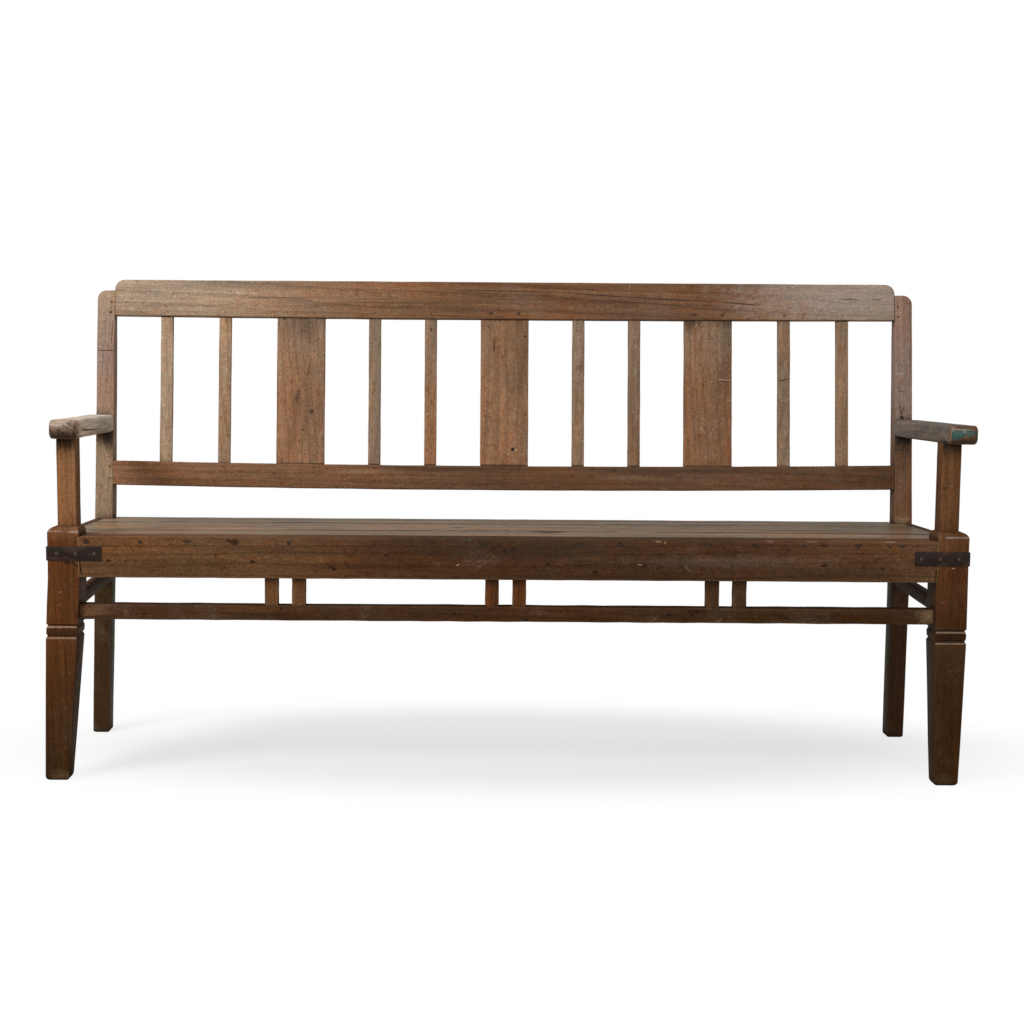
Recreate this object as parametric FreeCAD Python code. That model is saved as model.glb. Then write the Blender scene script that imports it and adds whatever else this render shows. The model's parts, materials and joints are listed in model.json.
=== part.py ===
import FreeCAD, Part
import math
import os

# An old country bench of wood with a slatted back, two arms and a deep front apron. Every piece is a
# separate solid that is tenoned, pinned or nailed to its neighbours, and nothing on the bench moves.
#
# While the pieces are drawn, X runs along the bench with its middle at zero, Y runs from the front
# faces of the front legs (zero) to the back, and Z is the height over the floor. "Left" and "right"
# are as seen from the front. At the end the whole bench moves in Y, so that the origin is under its
# middle. All sizes are in millimetres.

# Frame as a whole
bench_length = 1700.0          # across the outer faces of the front legs
frame_depth = 388.5            # front faces of the front legs to front faces of the back posts
seat_height = 462.5            # top of the seat at its front
seat_fall = 8.0                # how much lower the seat is at the back posts
bend_drop = 1.2                # the back posts start to lean back this far under the seat's front
back_rake = 7.1                # lean of the back, in degrees

# Front legs, each one piece with the post under the arm
leg_width = 59.0
leg_depth = 59.0
foot_width = 45.5
foot_front_taper = 5.0         # how far the front face draws back at the foot
foot_back_taper = 10.0
foot_round = 7.0
front_left_splay = 20.0        # how far the old joints let the foot stand out
front_right_splay = 3.5
collar_drop = 190.0            # from the seat down to the underside of the moulded collar
collar_band = 25.0             # height of the collar
groove_depth = 5.0
groove_height = 4.0
bead_set_back = 2.7            # crest of the bead behind the face of the leg
worn_edge = 1.5
shoulder_rise = 4.5            # leg block over the seat, before the shoulder rounds in
shoulder_height = 12.5
shoulder_outer = 17.0
shoulder_front = 12.0
arm_post_width = 35.5
arm_post_depth = 36.0

# Back posts
post_width = 36.0
post_depth = 43.0
post_top_depth = 24.0
post_rise = 464.5              # post tops over the seat
post_corner = 19.0
post_foot_width = 34.0
post_foot_depth = 38.0
post_foot_round = 4.0
back_left_splay = 10.0
back_right_splay = -2.0

# Back frame, measured up the slope from the bend
crest_top = 492.0
crest_depth = 74.6
crest_belly = 3.0              # how far the middle of its underside hangs
crest_thickness = 23.0
crest_corner = 20.0
lower_rail_bottom = 64.2
lower_rail_depth = 49.9
lower_rail_sag = 6.5
lower_rail_thickness = 24.0
splat_width = 100.0
slat_width = 25.3
slat_thickness = 12.5
slat_set_back = 4.5            # slat faces behind the faces of the rails
slats_per_bay = 2

# Arms
arm_width = 51.0
arm_thickness = 35.0
arm_rise = 179.0               # from the seat up to the arm's underside at the front
arm_fall = 7.0                 # how much lower the arm is at the back post
arm_overhang = 18.0            # nose in front of the leg
arm_nose = 12.0                # depth of the rounded nose
arm_round = 4.0
arm_left_set_in = 61.5         # inner edge of the left arm's nose, from the leg's outer face
arm_right_set_in = 46.5

# Rails under the seat
apron_depth = 76.5
apron_thickness = 58.0
apron_arris = 4.5
side_rail_depth = 74.5
rear_rail_depth = 62.0
rear_rail_thickness = 24.0
rear_rail_set_back = 16.0      # behind the front faces of the back posts
board_rebate = 20.0            # how far the ends of the boards lie on the side rails

# Stretchers and the short uprights
stretcher_drop = 128.5         # from the seat down to its top
stretcher_depth = 28.5
stretcher_thickness = 28.0
stretcher_set_back = 12.0
upright_width = 25.2
upright_thickness = 18.0
upright_set_back = 14.0
upright_pairs = 3
upright_pair_pitch = 409.6
upright_pair_spread = 50.8     # middle to middle within a pair
upright_row_shift = -3.8       # the whole row stands a little to the left
side_stretcher_drop = 115.0
side_stretcher_depth = 23.0
side_stretcher_width = 22.0
side_stretcher_set_in = 38.5   # its middle at the front leg, from the leg's outer face
side_stretcher_back_set_in = 23.0

# Seat boards and the bearers under them
board_thickness = 20.0
board_gap = 1.4
board_arris = 1.2
first_seam_left = 116.0        # the first seam is bowed, and its two ends differ
first_seam_middle = 160.0
first_seam_right = 134.0
second_seam = 318.0
bearer_spacing = 420.0
bearer_width = 45.0
bearer_depth = 38.0
bearer_housing = 6.0           # how far the ends are let into the rails

# Iron
strap_width = 25.5
strap_drop = 20.0              # from the seat down to the upper edge of the corner straps
strap_thickness = 2.0
strap_reach = 99.5
strap_nail_first = 18.5        # from the corner
strap_nail_pitch = 34.5
strap_nails_per_leaf = 3
strap_nail_head = 8.0
strap_nail_rise = 1.8
strap_nail_length = 16.0
strap_nail_shank = 3.4
nail_head = 6.0
nail_head_thickness = 1.2
nail_shank = 3.0
apron_nail_count = 18
apron_nail_drop = 10.0         # under the top of the apron
apron_nail_left_margin = 13.0
apron_nail_right_margin = 66.0
apron_nail_length = 40.0
seat_nail_length = 42.0
seat_nail_margin = 20.0        # from the long edges of each board
pin_diameter = 3.6
crest_pin_margin = 10.5        # from the lower edge of the crest rail
lower_pin_margin = 6.0         # from the upper edge of the lower rail
splat_pin_spread = 58.0
upright_pin_margin = 6.5

# Joints
tenon_shoulder = 4.0
tenon_clearance = 0.2          # round every tenon
tenon_end_gap = 1.0
rail_tenon_thickness = 10.0
rail_tenon_length = 24.0
side_tenon_length = 16.0
back_tenon_thickness = 9.0
back_tenon_length = 17.0
crest_tenon_depth = 38.0
lower_tenon_depth = 36.0
slat_tenon_thickness = 6.5
slat_tenon_length = 24.0
upright_tenon_length = 15.0
upright_tenon_thickness = 8.0
arm_tenon_size = 14.0
arm_tenon_length = 21.0
peg_diameter = 6.0
peg_length = 21.0
peg_set_in = 6.5               # from the inner face of the post
crest_peg_spacing = 20.0
lower_peg_spacing = 24.0

# Places that follow from the sizes above
half_length = bench_length / 2
splat_spacing = bench_length / 4
bend_height = seat_height - bend_drop
apron_bottom = seat_height - apron_depth
side_rail_bottom = seat_height - side_rail_depth
stretcher_bottom = seat_height - stretcher_drop - stretcher_depth
side_stretcher_bottom = seat_height - side_stretcher_drop - side_stretcher_depth
side_stretcher_front = half_length - side_stretcher_set_in
side_stretcher_back = half_length - side_stretcher_back_set_in
collar_height = seat_height - collar_drop
shoulder_start = seat_height + shoulder_rise
arm_height = seat_height + arm_rise
post_top = seat_height + post_rise
strap_height = seat_height - strap_drop - strap_width
leg_inner = half_length - leg_width
post_inner = half_length - post_width
post_middle = half_length - post_width / 2
seat_back = frame_depth + post_depth
shoulder_top = shoulder_start + shoulder_height
collar_top = collar_height + collar_band
shoulder_inner = leg_width - arm_post_width - shoulder_outer
shoulder_back = leg_depth - arm_post_depth - shoulder_front
arm_post_middle = half_length - shoulder_outer - arm_post_width / 2
arm_post_centre = shoulder_front + arm_post_depth / 2
rake = math.radians(back_rake)
crest_bottom = crest_top - crest_depth
lower_rail_top = lower_rail_bottom + lower_rail_depth
strap_middle = strap_height + strap_width / 2
slat_middle_y = slat_set_back + slat_thickness / 2
board_end = post_inner + board_rebate
rear_rail_front = frame_depth + rear_rail_set_back
rear_rail_back = rear_rail_front + rear_rail_thickness
wide = 2 * bench_length        # longer than anything, for cuts that run right through
left_and_right = ((-1, "left"), (1, "right"))


def seat_top(y):
    """Height of the top of the seat at the depth y."""
    return seat_height - seat_fall * y / frame_depth


def board_underside(y):
    """Height of the underside of the seat boards at the depth y."""
    return seat_top(y) - board_thickness


def arm_underside(y):
    """Height of the underside of the arms at the depth y."""
    return arm_height - arm_fall * y / frame_depth


def post_face(z):
    """Depth of the front faces of the back posts at the height z over the bend."""
    return frame_depth + (z - bend_height) * math.tan(rake)


def side_stretcher_middle(y):
    """Middle of the side stretchers at the depth y, from the middle of the bench."""
    spread = side_stretcher_back - side_stretcher_front
    return side_stretcher_front + spread * (y - leg_depth) / (frame_depth - leg_depth)


class Outline:
    """A closed outline of lines and arcs, in the plane that the turn function gives its points."""

    def __init__(self, turn, a, b):
        self.turn = turn
        self.start = (a, b)
        self.last = (a, b)
        self.edges = []

    def line(self, a, b):
        if math.dist(self.last, (a, b)) > 1e-6:
            self.edges.append(Part.LineSegment(self.turn(*self.last), self.turn(a, b)).toShape())
            self.last = (a, b)

    def arc(self, middle, end):
        through = (self.turn(*self.last), self.turn(*middle), self.turn(*end))
        self.edges.append(Part.Arc(*through).toShape())
        self.last = end

    def solid(self, push):
        self.line(*self.start)
        return Part.Face(Part.Wire(self.edges)).extrude(push)


def front_view(x, z):
    """A point of an outline that is drawn as seen from the front."""
    return FreeCAD.Vector(x, 0, z)


def side_view(y, z):
    """A point of an outline that is drawn as seen from the side, from far out on the left."""
    return FreeCAD.Vector(-wide, y, z)


def plan_view(x, y):
    """A point of an outline that is drawn as seen from above."""
    return FreeCAD.Vector(x, y, 0)


def polygon(turn, points, push):
    """A solid with straight sides."""
    outline = Outline(turn, *points[0])
    for point in points[1:]:
        outline.line(*point)
    return outline.solid(push)


def bar_along(points):
    """A very long bar along X with the outline that its side view points give."""
    return polygon(side_view, points, FreeCAD.Vector(2 * wide, 0, 0))


def box(x, y, z):
    """A block between the two values of each pair."""
    size = (x[1] - x[0], y[1] - y[0], z[1] - z[0])
    return Part.makeBox(*size, FreeCAD.Vector(x[0], y[0], z[0]))


def grown(x, y, z, gap=tenon_clearance):
    """The hole for a block: the block with a gap on every side."""
    return box((x[0] - gap, x[1] + gap), (y[0] - gap, y[1] + gap), (z[0] - gap, z[1] + gap))


def centred(middle, size):
    """The pair of values that lie round a middle."""
    return (middle - size / 2, middle + size / 2)


def inside(low, high):
    """The pair of values of a tenon whose shoulders stand on both sides of it."""
    return (low + tenon_shoulder, high - tenon_shoulder)


def ends(face, side, length):
    """Where a tenon and its mortise lie along their rail, whose end face points to the side."""
    root = face - side * tenon_shoulder
    tip = face + side * length
    hole = tip + side * tenon_end_gap
    return sorted((root, tip)), sorted((root, hole))


def mirrored(shape):
    """The left hand copy of a right hand piece."""
    return shape.mirror(FreeCAD.Vector(0, 0, 0), FreeCAD.Vector(1, 0, 0))


def on_side(side, shape):
    """A piece drawn on the right, on the side that is wanted: -1 is left and 1 is right."""
    return shape if side > 0 else mirrored(shape)


def raked(shape):
    """Lean a piece of the back, drawn upright on its front plane, against the posts."""
    turned = shape.copy()
    turned.rotate(FreeCAD.Vector(0, 0, 0), FreeCAD.Vector(1, 0, 0), -back_rake)
    turned.translate(FreeCAD.Vector(0, frame_depth, bend_height))
    return turned


def rod(x, y, z, direction, length, diameter):
    """A round bar from a point along a direction."""
    return Part.makeCylinder(diameter / 2, length, FreeCAD.Vector(x, y, z), FreeCAD.Vector(*direction))


def flush_nail(x, y, z, direction, length):
    """A nail whose flat head lies level with the wood at the given point."""
    head = rod(x, y, z, direction, nail_head_thickness, nail_head)
    return head.fuse(rod(x, y, z, direction, length, nail_shank)).removeSplitter()


def follow(outline, steps, place, downwards=False):
    """Add steps of (inset, height, middle of an arc or None) to an outline, up or down one side."""
    if downwards:
        outline.line(*place(*steps[-1][:2]))
        path = [(lower[:2], upper[2]) for upper, lower in zip(steps[:0:-1], steps[-2::-1])]
    else:
        path = [(step[:2], step[2]) for step in steps]
    for point, middle in path:
        if middle:
            outline.arc(place(*middle), place(*point))
        else:
            outline.line(*place(*point))


def quarter_round(start, end):
    """The middle of a curve that leaves its start upright and meets its end level."""
    corner = math.sqrt(0.5)
    return (end[0] + (start[0] - end[0]) * corner, start[1] + (end[1] - start[1]) * corner)


def foot_steps(taper, radius):
    """The rounded arris of a foot, from the floor up."""
    floor = (taper + radius, 0.0)
    side = (taper, radius)
    corner = 1 - math.sqrt(0.5)
    return [(*floor, None), (*side, (taper + radius * corner, radius * corner))]


def collar_steps():
    """The two grooves and the bead of the collar, from below."""
    crest = (bead_set_back, collar_height + collar_band / 2)
    return [
        (0.0, collar_height - worn_edge, None),
        (worn_edge, collar_height, None),
        (groove_depth, collar_height, None),
        (groove_depth, collar_height + groove_height, None),
        (groove_depth, collar_top - groove_height, crest),
        (groove_depth, collar_top, None),
        (worn_edge, collar_top, None),
        (0.0, collar_top + worn_edge, None),
    ]


def leg_steps(taper, shoulder, top):
    """One side of a front leg from the floor to the arm, as insets from the face of its block."""
    start = (0.0, shoulder_start)
    end = (shoulder, shoulder_top)
    steps = foot_steps(taper, foot_round) + collar_steps()
    steps.append((0.0, apron_bottom, None))
    steps.append((*start, None))
    steps.append((*end, quarter_round(start, end)))
    steps.append((shoulder, top, None))
    return steps


def leg_blank(foot_out):
    """A right hand front leg before its joints are cut: where its two outlines meet."""

    def lean(z):
        return foot_out * max(0.0, 1 - z / apron_bottom)

    def outer(inset, z):
        return (half_length - inset + lean(z), z)

    def inner(inset, z):
        return (leg_inner + inset + lean(z), z)

    def front(inset, z):
        return (inset, z)

    def back(inset, z):
        return (leg_depth - inset, z)

    taper = (leg_width - foot_width) / 2
    outer_steps = leg_steps(taper, shoulder_outer, arm_height + arm_thickness)
    inner_steps = leg_steps(taper, shoulder_inner, arm_height + arm_thickness)
    across = Outline(front_view, *outer(*outer_steps[0][:2]))
    follow(across, outer_steps[1:], outer)
    follow(across, inner_steps, inner, downwards=True)

    front_steps = leg_steps(foot_front_taper, shoulder_front, arm_underside(shoulder_front))
    back_steps = leg_steps(foot_back_taper, shoulder_back, arm_underside(leg_depth - shoulder_back))
    along = Outline(side_view, *back(*back_steps[0][:2]))
    follow(along, back_steps[1:], back)
    follow(along, front_steps, front, downwards=True)

    slab = across.solid(FreeCAD.Vector(0, leg_depth, 0))
    return slab.common(along.solid(FreeCAD.Vector(2 * wide, 0, 0)))


def post_blank(foot_out):
    """A right hand back post before its joints are cut."""

    def lean(z):
        return foot_out * (1 - z / bend_height)

    def outer(inset, z):
        return (half_length - inset + lean(z), z)

    def inner(inset, z):
        return (post_inner + inset + lean(z), z)

    def front(inset, z):
        return (frame_depth + inset, z)

    def back(inset, z):
        return (seat_back - inset, z)

    across_foot = foot_steps((post_width - post_foot_width) / 2, post_foot_round)
    across = Outline(front_view, post_inner, bend_height)
    follow(across, across_foot, inner, downwards=True)
    follow(across, across_foot, outer)
    across.line(half_length, bend_height)
    across.line(half_length, post_top - post_corner)
    corner = post_corner * (1 - math.sqrt(0.5))
    across.arc((half_length - corner, post_top - corner), (half_length - post_corner, post_top))
    across.line(post_inner, post_top)

    along_foot = foot_steps((post_depth - post_foot_depth) / 2, post_foot_round)
    along = Outline(side_view, frame_depth, bend_height)
    along.line(frame_depth, apron_bottom)
    follow(along, along_foot, front, downwards=True)
    follow(along, along_foot, back)
    along.line(seat_back, apron_bottom)
    along.line(seat_back, bend_height)
    along.line(post_face(post_top) + post_top_depth, post_top)
    along.line(post_face(post_top), post_top)

    slab = across.solid(FreeCAD.Vector(0, wide, 0))
    return slab.common(along.solid(FreeCAD.Vector(2 * wide, 0, 0)))


def middle_piece(shape, direction):
    """The solid of a bar cut at both ends that is nearest to the middle, along X or Y or Z."""
    middle = sum(getattr(shape.BoundBox, direction + name) for name in ("Min", "Max")) / 2
    return min(shape.Solids, key=lambda solid: abs(getattr(solid.CenterOfMass, direction.lower()) - middle))


def crest_rail():
    """The top rail of the back, drawn upright: rounded top corners and a slightly hanging underside."""
    corner = crest_corner * (1 - math.sqrt(0.5))
    side = post_inner
    outline = Outline(front_view, -side, crest_bottom)
    outline.arc((0.0, crest_bottom - crest_belly), (side, crest_bottom))
    outline.line(side, crest_top - crest_corner)
    outline.arc((side - corner, crest_top - corner), (side - crest_corner, crest_top))
    outline.line(crest_corner - side, crest_top)
    outline.arc((corner - side, crest_top - corner), (-side, crest_top - crest_corner))
    return outline.solid(FreeCAD.Vector(0, crest_thickness, 0))


def lower_back_rail():
    """The lower rail of the back, drawn upright, which age has let down in the middle."""
    side = post_inner
    outline = Outline(front_view, -side, lower_rail_bottom)
    outline.arc((0.0, lower_rail_bottom - lower_rail_sag), (side, lower_rail_bottom))
    outline.line(side, lower_rail_top)
    outline.arc((0.0, lower_rail_top - lower_rail_sag), (-side, lower_rail_top))
    return outline.solid(FreeCAD.Vector(0, lower_rail_thickness, 0))


def tenoned_back_rail(rail, thickness, middle, depth, peg_spacing):
    """Add the tenons of a rail of the back. Returns the rail, its two mortises and its pegs."""
    y = centred(thickness / 2, back_tenon_thickness)
    z = centred(middle, depth)
    tenons = []
    mortises = []
    pegs = []
    for side, name in left_and_right:
        tenon, mortise = ends(side * post_inner, side, back_tenon_length)
        tenons.append(box(tenon, y, z))
        mortises.append(grown(mortise, y, z))
        for level in centred(middle, peg_spacing):
            x = side * (post_inner + peg_set_in)
            pegs.append(rod(x, 0, level, (0, 1, 0), peg_length, peg_diameter))
    return rail.fuse(tenons).removeSplitter(), mortises, pegs


def slat_places():
    """The middles of the slats and splats across the back, from left to right, with their widths."""
    places = []
    edges = [-post_inner]
    for middle in (-splat_spacing, 0.0, splat_spacing):
        places.append((middle, splat_width))
        edges += centred(middle, splat_width)
    edges.append(post_inner)
    for left, right in zip(edges[::2], edges[1::2]):
        gap = (right - left - slats_per_bay * slat_width) / (slats_per_bay + 1)
        for number in range(slats_per_bay):
            places.append((left + gap + slat_width / 2 + number * (gap + slat_width), slat_width))
    return sorted(places)


def slat(middle, width, rails):
    """One upright of the back between the two rails. Returns it and its lower and upper mortises."""
    reach = (lower_rail_bottom, crest_top)
    bar = box(centred(middle, width), centred(slat_middle_y, slat_thickness), reach)
    body = middle_piece(bar.cut(rails[0]).cut(rails[1]), "Z")
    x = inside(*centred(middle, width))
    y = centred(slat_middle_y, slat_tenon_thickness)
    tenons = []
    mortises = []
    for side, face in ((-1, body.BoundBox.ZMin), (1, body.BoundBox.ZMax)):
        tenon, mortise = ends(face, side, slat_tenon_length)
        tenons.append(box(x, y, tenon))
        mortises.append(grown(x, y, mortise))
    return body.fuse(tenons).removeSplitter(), mortises


def slat_pins(middle, width, level):
    """The pins from the face of a rail through the tenon of one slat: one, or two in a wide splat."""
    across = centred(middle, splat_pin_spread) if width == splat_width else [middle]
    length = slat_middle_y + slat_thickness / 2
    return [rod(x, 0, level, (0, 1, 0), length, pin_diameter) for x in across]


def arm_blank(nose_inner):
    """A right hand arm with a round nose and softened edges, running on into the back post."""
    tail = seat_back + arm_thickness
    nose = -arm_overhang
    round_start = nose + arm_nose
    under = arm_underside(round_start)
    side = Outline(side_view, tail, arm_underside(tail))
    side.line(tail, arm_underside(tail) + arm_thickness)
    side.line(round_start, under + arm_thickness)
    side.arc((nose, under + arm_thickness / 2), (round_start, under))
    profile = side.solid(FreeCAD.Vector(2 * wide, 0, 0))

    skew = (post_inner - nose_inner) / (post_face(arm_height) - nose)
    tail_inner = nose_inner + skew * (tail - nose)
    plan = [
        (nose_inner, nose),
        (nose_inner + arm_width, nose),
        (tail_inner + arm_width, tail),
        (tail_inner, tail),
    ]
    blank = profile.common(polygon(plan_view, plan, FreeCAD.Vector(0, 0, wide)))
    return blank.makeFillet(arm_round, [edge for edge in blank.Edges if edge.BoundBox.YLength > 1])


def behind_back():
    """Everything behind the front faces of the leaning posts."""
    top = post_top + wide
    points = [
        (frame_depth, bend_height),
        (frame_depth + wide + wide, bend_height),
        (frame_depth + wide + wide, top),
        (post_face(top), top),
    ]
    return bar_along(points)


def bowed_edge(left, middle, right, shift):
    """Two ends of a board edge and the point between them, from the left end of the boards."""
    return ((-board_end, left + shift), (0.0, middle + shift), (board_end, right + shift))


def seat_board(front_edge, back_edge):
    """One seat board between two edges, each given by three points in plan."""
    plan = Outline(plan_view, *front_edge[0])
    for edge in (front_edge, back_edge[::-1]):
        plan.line(*edge[0])
        if abs(edge[0][1] + edge[2][1] - 2 * edge[1][1]) > 1e-6:
            plan.arc(edge[1], edge[2])
        else:
            plan.line(*edge[2])
    front = 0.0
    slab = bar_along([
        (front, board_underside(front)),
        (front, seat_top(front)),
        (wide, seat_top(wide)),
        (wide, board_underside(wide)),
    ])
    board = plan.solid(FreeCAD.Vector(0, 0, wide)).common(slab)
    top = seat_top(seat_back) - board_thickness / 2
    arrises = [e for e in board.Edges if e.BoundBox.ZMin > top and e.BoundBox.XLength > board_end]
    return board.makeChamfer(board_arris, arrises)


def bearer(middle, gap=0.0, end_gap=0.0):
    """One bearer under the boards, or with gaps the housings for its ends."""
    front = apron_thickness - bearer_housing - end_gap
    back = rear_rail_front + bearer_housing + end_gap
    points = [
        (front, board_underside(front) + gap),
        (back, board_underside(back) + gap),
        (back, board_underside(back) - bearer_depth - gap),
        (front, board_underside(front) - bearer_depth - gap),
    ]
    slab = bar_along(points)
    return slab.common(box(centred(middle, bearer_width + 2 * gap), (0, wide), (0, wide)))


def corner_strap():
    """The right hand iron strap, bent round the corner of the front leg."""
    outer = half_length + strap_thickness
    end = half_length - strap_reach
    points = [
        (end, 0.0),
        (end, -strap_thickness),
        (half_length, -strap_thickness),
        (outer, 0.0),
        (outer, strap_reach),
        (half_length, strap_reach),
        (half_length, 0.0),
    ]
    outline = Outline(plan_view, *points[0])
    outline.line(*points[1])
    outline.line(*points[2])
    corner = strap_thickness * math.sqrt(0.5)
    outline.arc((half_length + corner, -corner), points[3])
    for point in points[4:]:
        outline.line(*point)
    strap = outline.solid(FreeCAD.Vector(0, 0, strap_width))
    strap.translate(FreeCAD.Vector(0, 0, strap_height))
    return strap


def strap_nail(x, y, direction):
    """A nail with a domed head standing on the strap, driven from a point on its face."""
    outward = FreeCAD.Vector(-direction[0], -direction[1], 0)
    radius = (strap_nail_head ** 2 / 4 + strap_nail_rise ** 2) / (2 * strap_nail_rise)
    depth = radius - strap_nail_rise
    centre = FreeCAD.Vector(x, y, strap_middle) - outward * depth
    rim = math.degrees(math.asin(depth / radius))
    dome = Part.makeSphere(radius, centre, outward, rim, 90, 360)
    shank = rod(x, y, strap_middle, direction, strap_nail_length, strap_nail_shank)
    return dome.fuse(shank).removeSplitter()


def strap_nails():
    """The nails of the right hand strap, in both of its leaves."""
    nails = []
    for number in range(strap_nails_per_leaf):
        place = strap_nail_first + number * strap_nail_pitch
        nails.append(strap_nail(half_length - place, -strap_thickness, (0, 1, 0)))
        nails.append(strap_nail(half_length + strap_thickness, place, (-1, 0, 0)))
    return nails


class Bench:
    """The named pieces, and the holes that are still to be cut in them."""

    def __init__(self):
        self.pieces = {}
        self.holes = {}

    def add(self, name, shape):
        self.pieces[name] = shape

    def group(self, name, shapes, *hosts):
        """Several separate solids under one name, with a hole for each in every host they meet."""
        self.pieces[name] = Part.makeCompound(shapes)
        for host in hosts:
            self.cut(host, shapes)

    def cut(self, name, shapes):
        reach = self.pieces[name].BoundBox
        near = [shape for shape in shapes if shape.BoundBox.intersect(reach)]
        self.holes.setdefault(name, []).extend(near)

    def rail(self, name, bar, blanks, hosts, tenon_y, tenon_z, length):
        """A rail along X, cut to length by the blanks at its ends and tenoned into the hosts."""
        for blank in blanks:
            bar = bar.cut(blank)
        fitted = middle_piece(bar, "X")
        tenons = []
        for side, face, host in zip((-1, 1), (fitted.BoundBox.XMin, fitted.BoundBox.XMax), hosts):
            tenon, mortise = ends(face, side, length)
            tenons.append(box(tenon, tenon_y, tenon_z))
            self.cut(host, [grown(mortise, tenon_y, tenon_z)])
        self.add(name, fitted.fuse(tenons).removeSplitter())

    def finished(self):
        """All pieces with their holes cut."""
        done = {}
        for name, shape in self.pieces.items():
            holes = self.holes.get(name, [])
            done[name] = shape.cut(holes) if holes else shape
        return done


def make_legs(bench):
    """The two front legs and the two back posts. Returns their blanks from left to right."""
    legs = []
    posts = []
    for side, name in left_and_right:
        front_splay = front_left_splay if side < 0 else front_right_splay
        back_splay = back_left_splay if side < 0 else back_right_splay
        legs.append(on_side(side, leg_blank(front_splay)))
        posts.append(on_side(side, post_blank(back_splay)))
        bench.add(f"front_leg_{name}", legs[-1])
        bench.add(f"back_post_{name}", posts[-1])
    return legs, posts


def make_long_rails(bench, legs, posts):
    """The apron, the front stretcher and the rear seat rail."""
    front_legs = ("front_leg_left", "front_leg_right")
    back_posts = ("back_post_left", "back_post_right")
    apron = bar_along([
        (0.0, apron_bottom),
        (0.0, seat_top(0.0) - apron_arris),
        (apron_arris / 3, seat_top(0.0) - apron_arris / 3),
        (apron_arris, seat_top(apron_arris)),
        (apron_thickness, seat_top(apron_thickness)),
        (apron_thickness, apron_bottom),
    ])
    y = centred(apron_thickness / 2, rail_tenon_thickness)
    z = inside(apron_bottom, seat_top(leg_depth))
    bench.rail("front_apron", apron, legs, front_legs, y, z, rail_tenon_length)

    stretcher_y = (stretcher_set_back, stretcher_set_back + stretcher_thickness)
    stretcher_z = (stretcher_bottom, stretcher_bottom + stretcher_depth)
    stretcher = box((-wide, wide), stretcher_y, stretcher_z)
    y = centred(sum(stretcher_y) / 2, rail_tenon_thickness)
    bench.rail("front_stretcher", stretcher, legs, front_legs, y, inside(*stretcher_z), rail_tenon_length)

    rear_rail_bottom = board_underside(rear_rail_back) - rear_rail_depth
    rear = bar_along([
        (rear_rail_front, rear_rail_bottom),
        (rear_rail_front, board_underside(rear_rail_front)),
        (rear_rail_back, board_underside(rear_rail_back)),
        (rear_rail_back, rear_rail_bottom),
    ])
    y = centred((rear_rail_front + rear_rail_back) / 2, rail_tenon_thickness)
    z = inside(rear_rail_bottom, board_underside(rear_rail_back))
    bench.rail("rear_seat_rail", rear, posts, back_posts, y, z, side_tenon_length)


def along_y(bench, side, name, bar, middle_at, tenon_size, tenon_z):
    """A piece from a front leg to a back post on one side, with a tenon into each of them."""
    reach = bar.BoundBox
    tenons = []
    for end, face, host in ((-1, reach.YMin, f"front_leg_{name}"), (1, reach.YMax, f"back_post_{name}")):
        tenon, mortise = ends(face, end, side_tenon_length)
        x = centred(middle_at(face), tenon_size)
        tenons.append(box(x, tenon, tenon_z))
        bench.cut(host, [on_side(side, grown(x, mortise, tenon_z))])
    return on_side(side, bar.fuse(tenons).removeSplitter())


def make_side_rails(bench, legs, posts):
    """The side seat rails, rebated for the boards, and the side stretchers, which run askew."""
    for side, name in left_and_right:
        slab = bar_along([
            (leg_depth, side_rail_bottom),
            (leg_depth, seat_top(leg_depth)),
            (frame_depth, seat_top(frame_depth)),
            (frame_depth, side_rail_bottom),
        ])
        rebate = bar_along([
            (0.0, board_underside(0.0)),
            (0.0, seat_height + board_thickness),
            (wide, seat_height + board_thickness),
            (wide, board_underside(wide)),
        ])
        rail = slab.common(box((post_inner, half_length), (0, wide), (0, wide)))
        room = box((0, board_end + tenon_clearance), (0, wide), (0, wide))
        rail = rail.cut(rebate.common(room))
        z = inside(side_rail_bottom, board_underside(frame_depth))
        rail = along_y(bench, side, name, rail, lambda y: post_middle, rail_tenon_thickness, z)
        bench.add(f"side_seat_rail_{name}", rail)

        half = side_stretcher_width / 2
        plan = []
        for y, edge in ((0.0, -half), (0.0, half), (wide / 4, half), (wide / 4, -half)):
            plan.append((side_stretcher_middle(y) + edge, y))
        bar = polygon(plan_view, plan, FreeCAD.Vector(0, 0, side_stretcher_depth))
        bar.translate(FreeCAD.Vector(0, 0, side_stretcher_bottom))
        bar = bar.common(box((0, wide), (leg_depth, frame_depth), (0, wide)))
        size = side_stretcher_width - 2 * tenon_shoulder
        z = inside(side_stretcher_bottom, side_stretcher_bottom + side_stretcher_depth)
        bar = along_y(bench, side, name, bar, side_stretcher_middle, size, z)
        bench.add(f"side_stretcher_{name}", bar)


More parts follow.
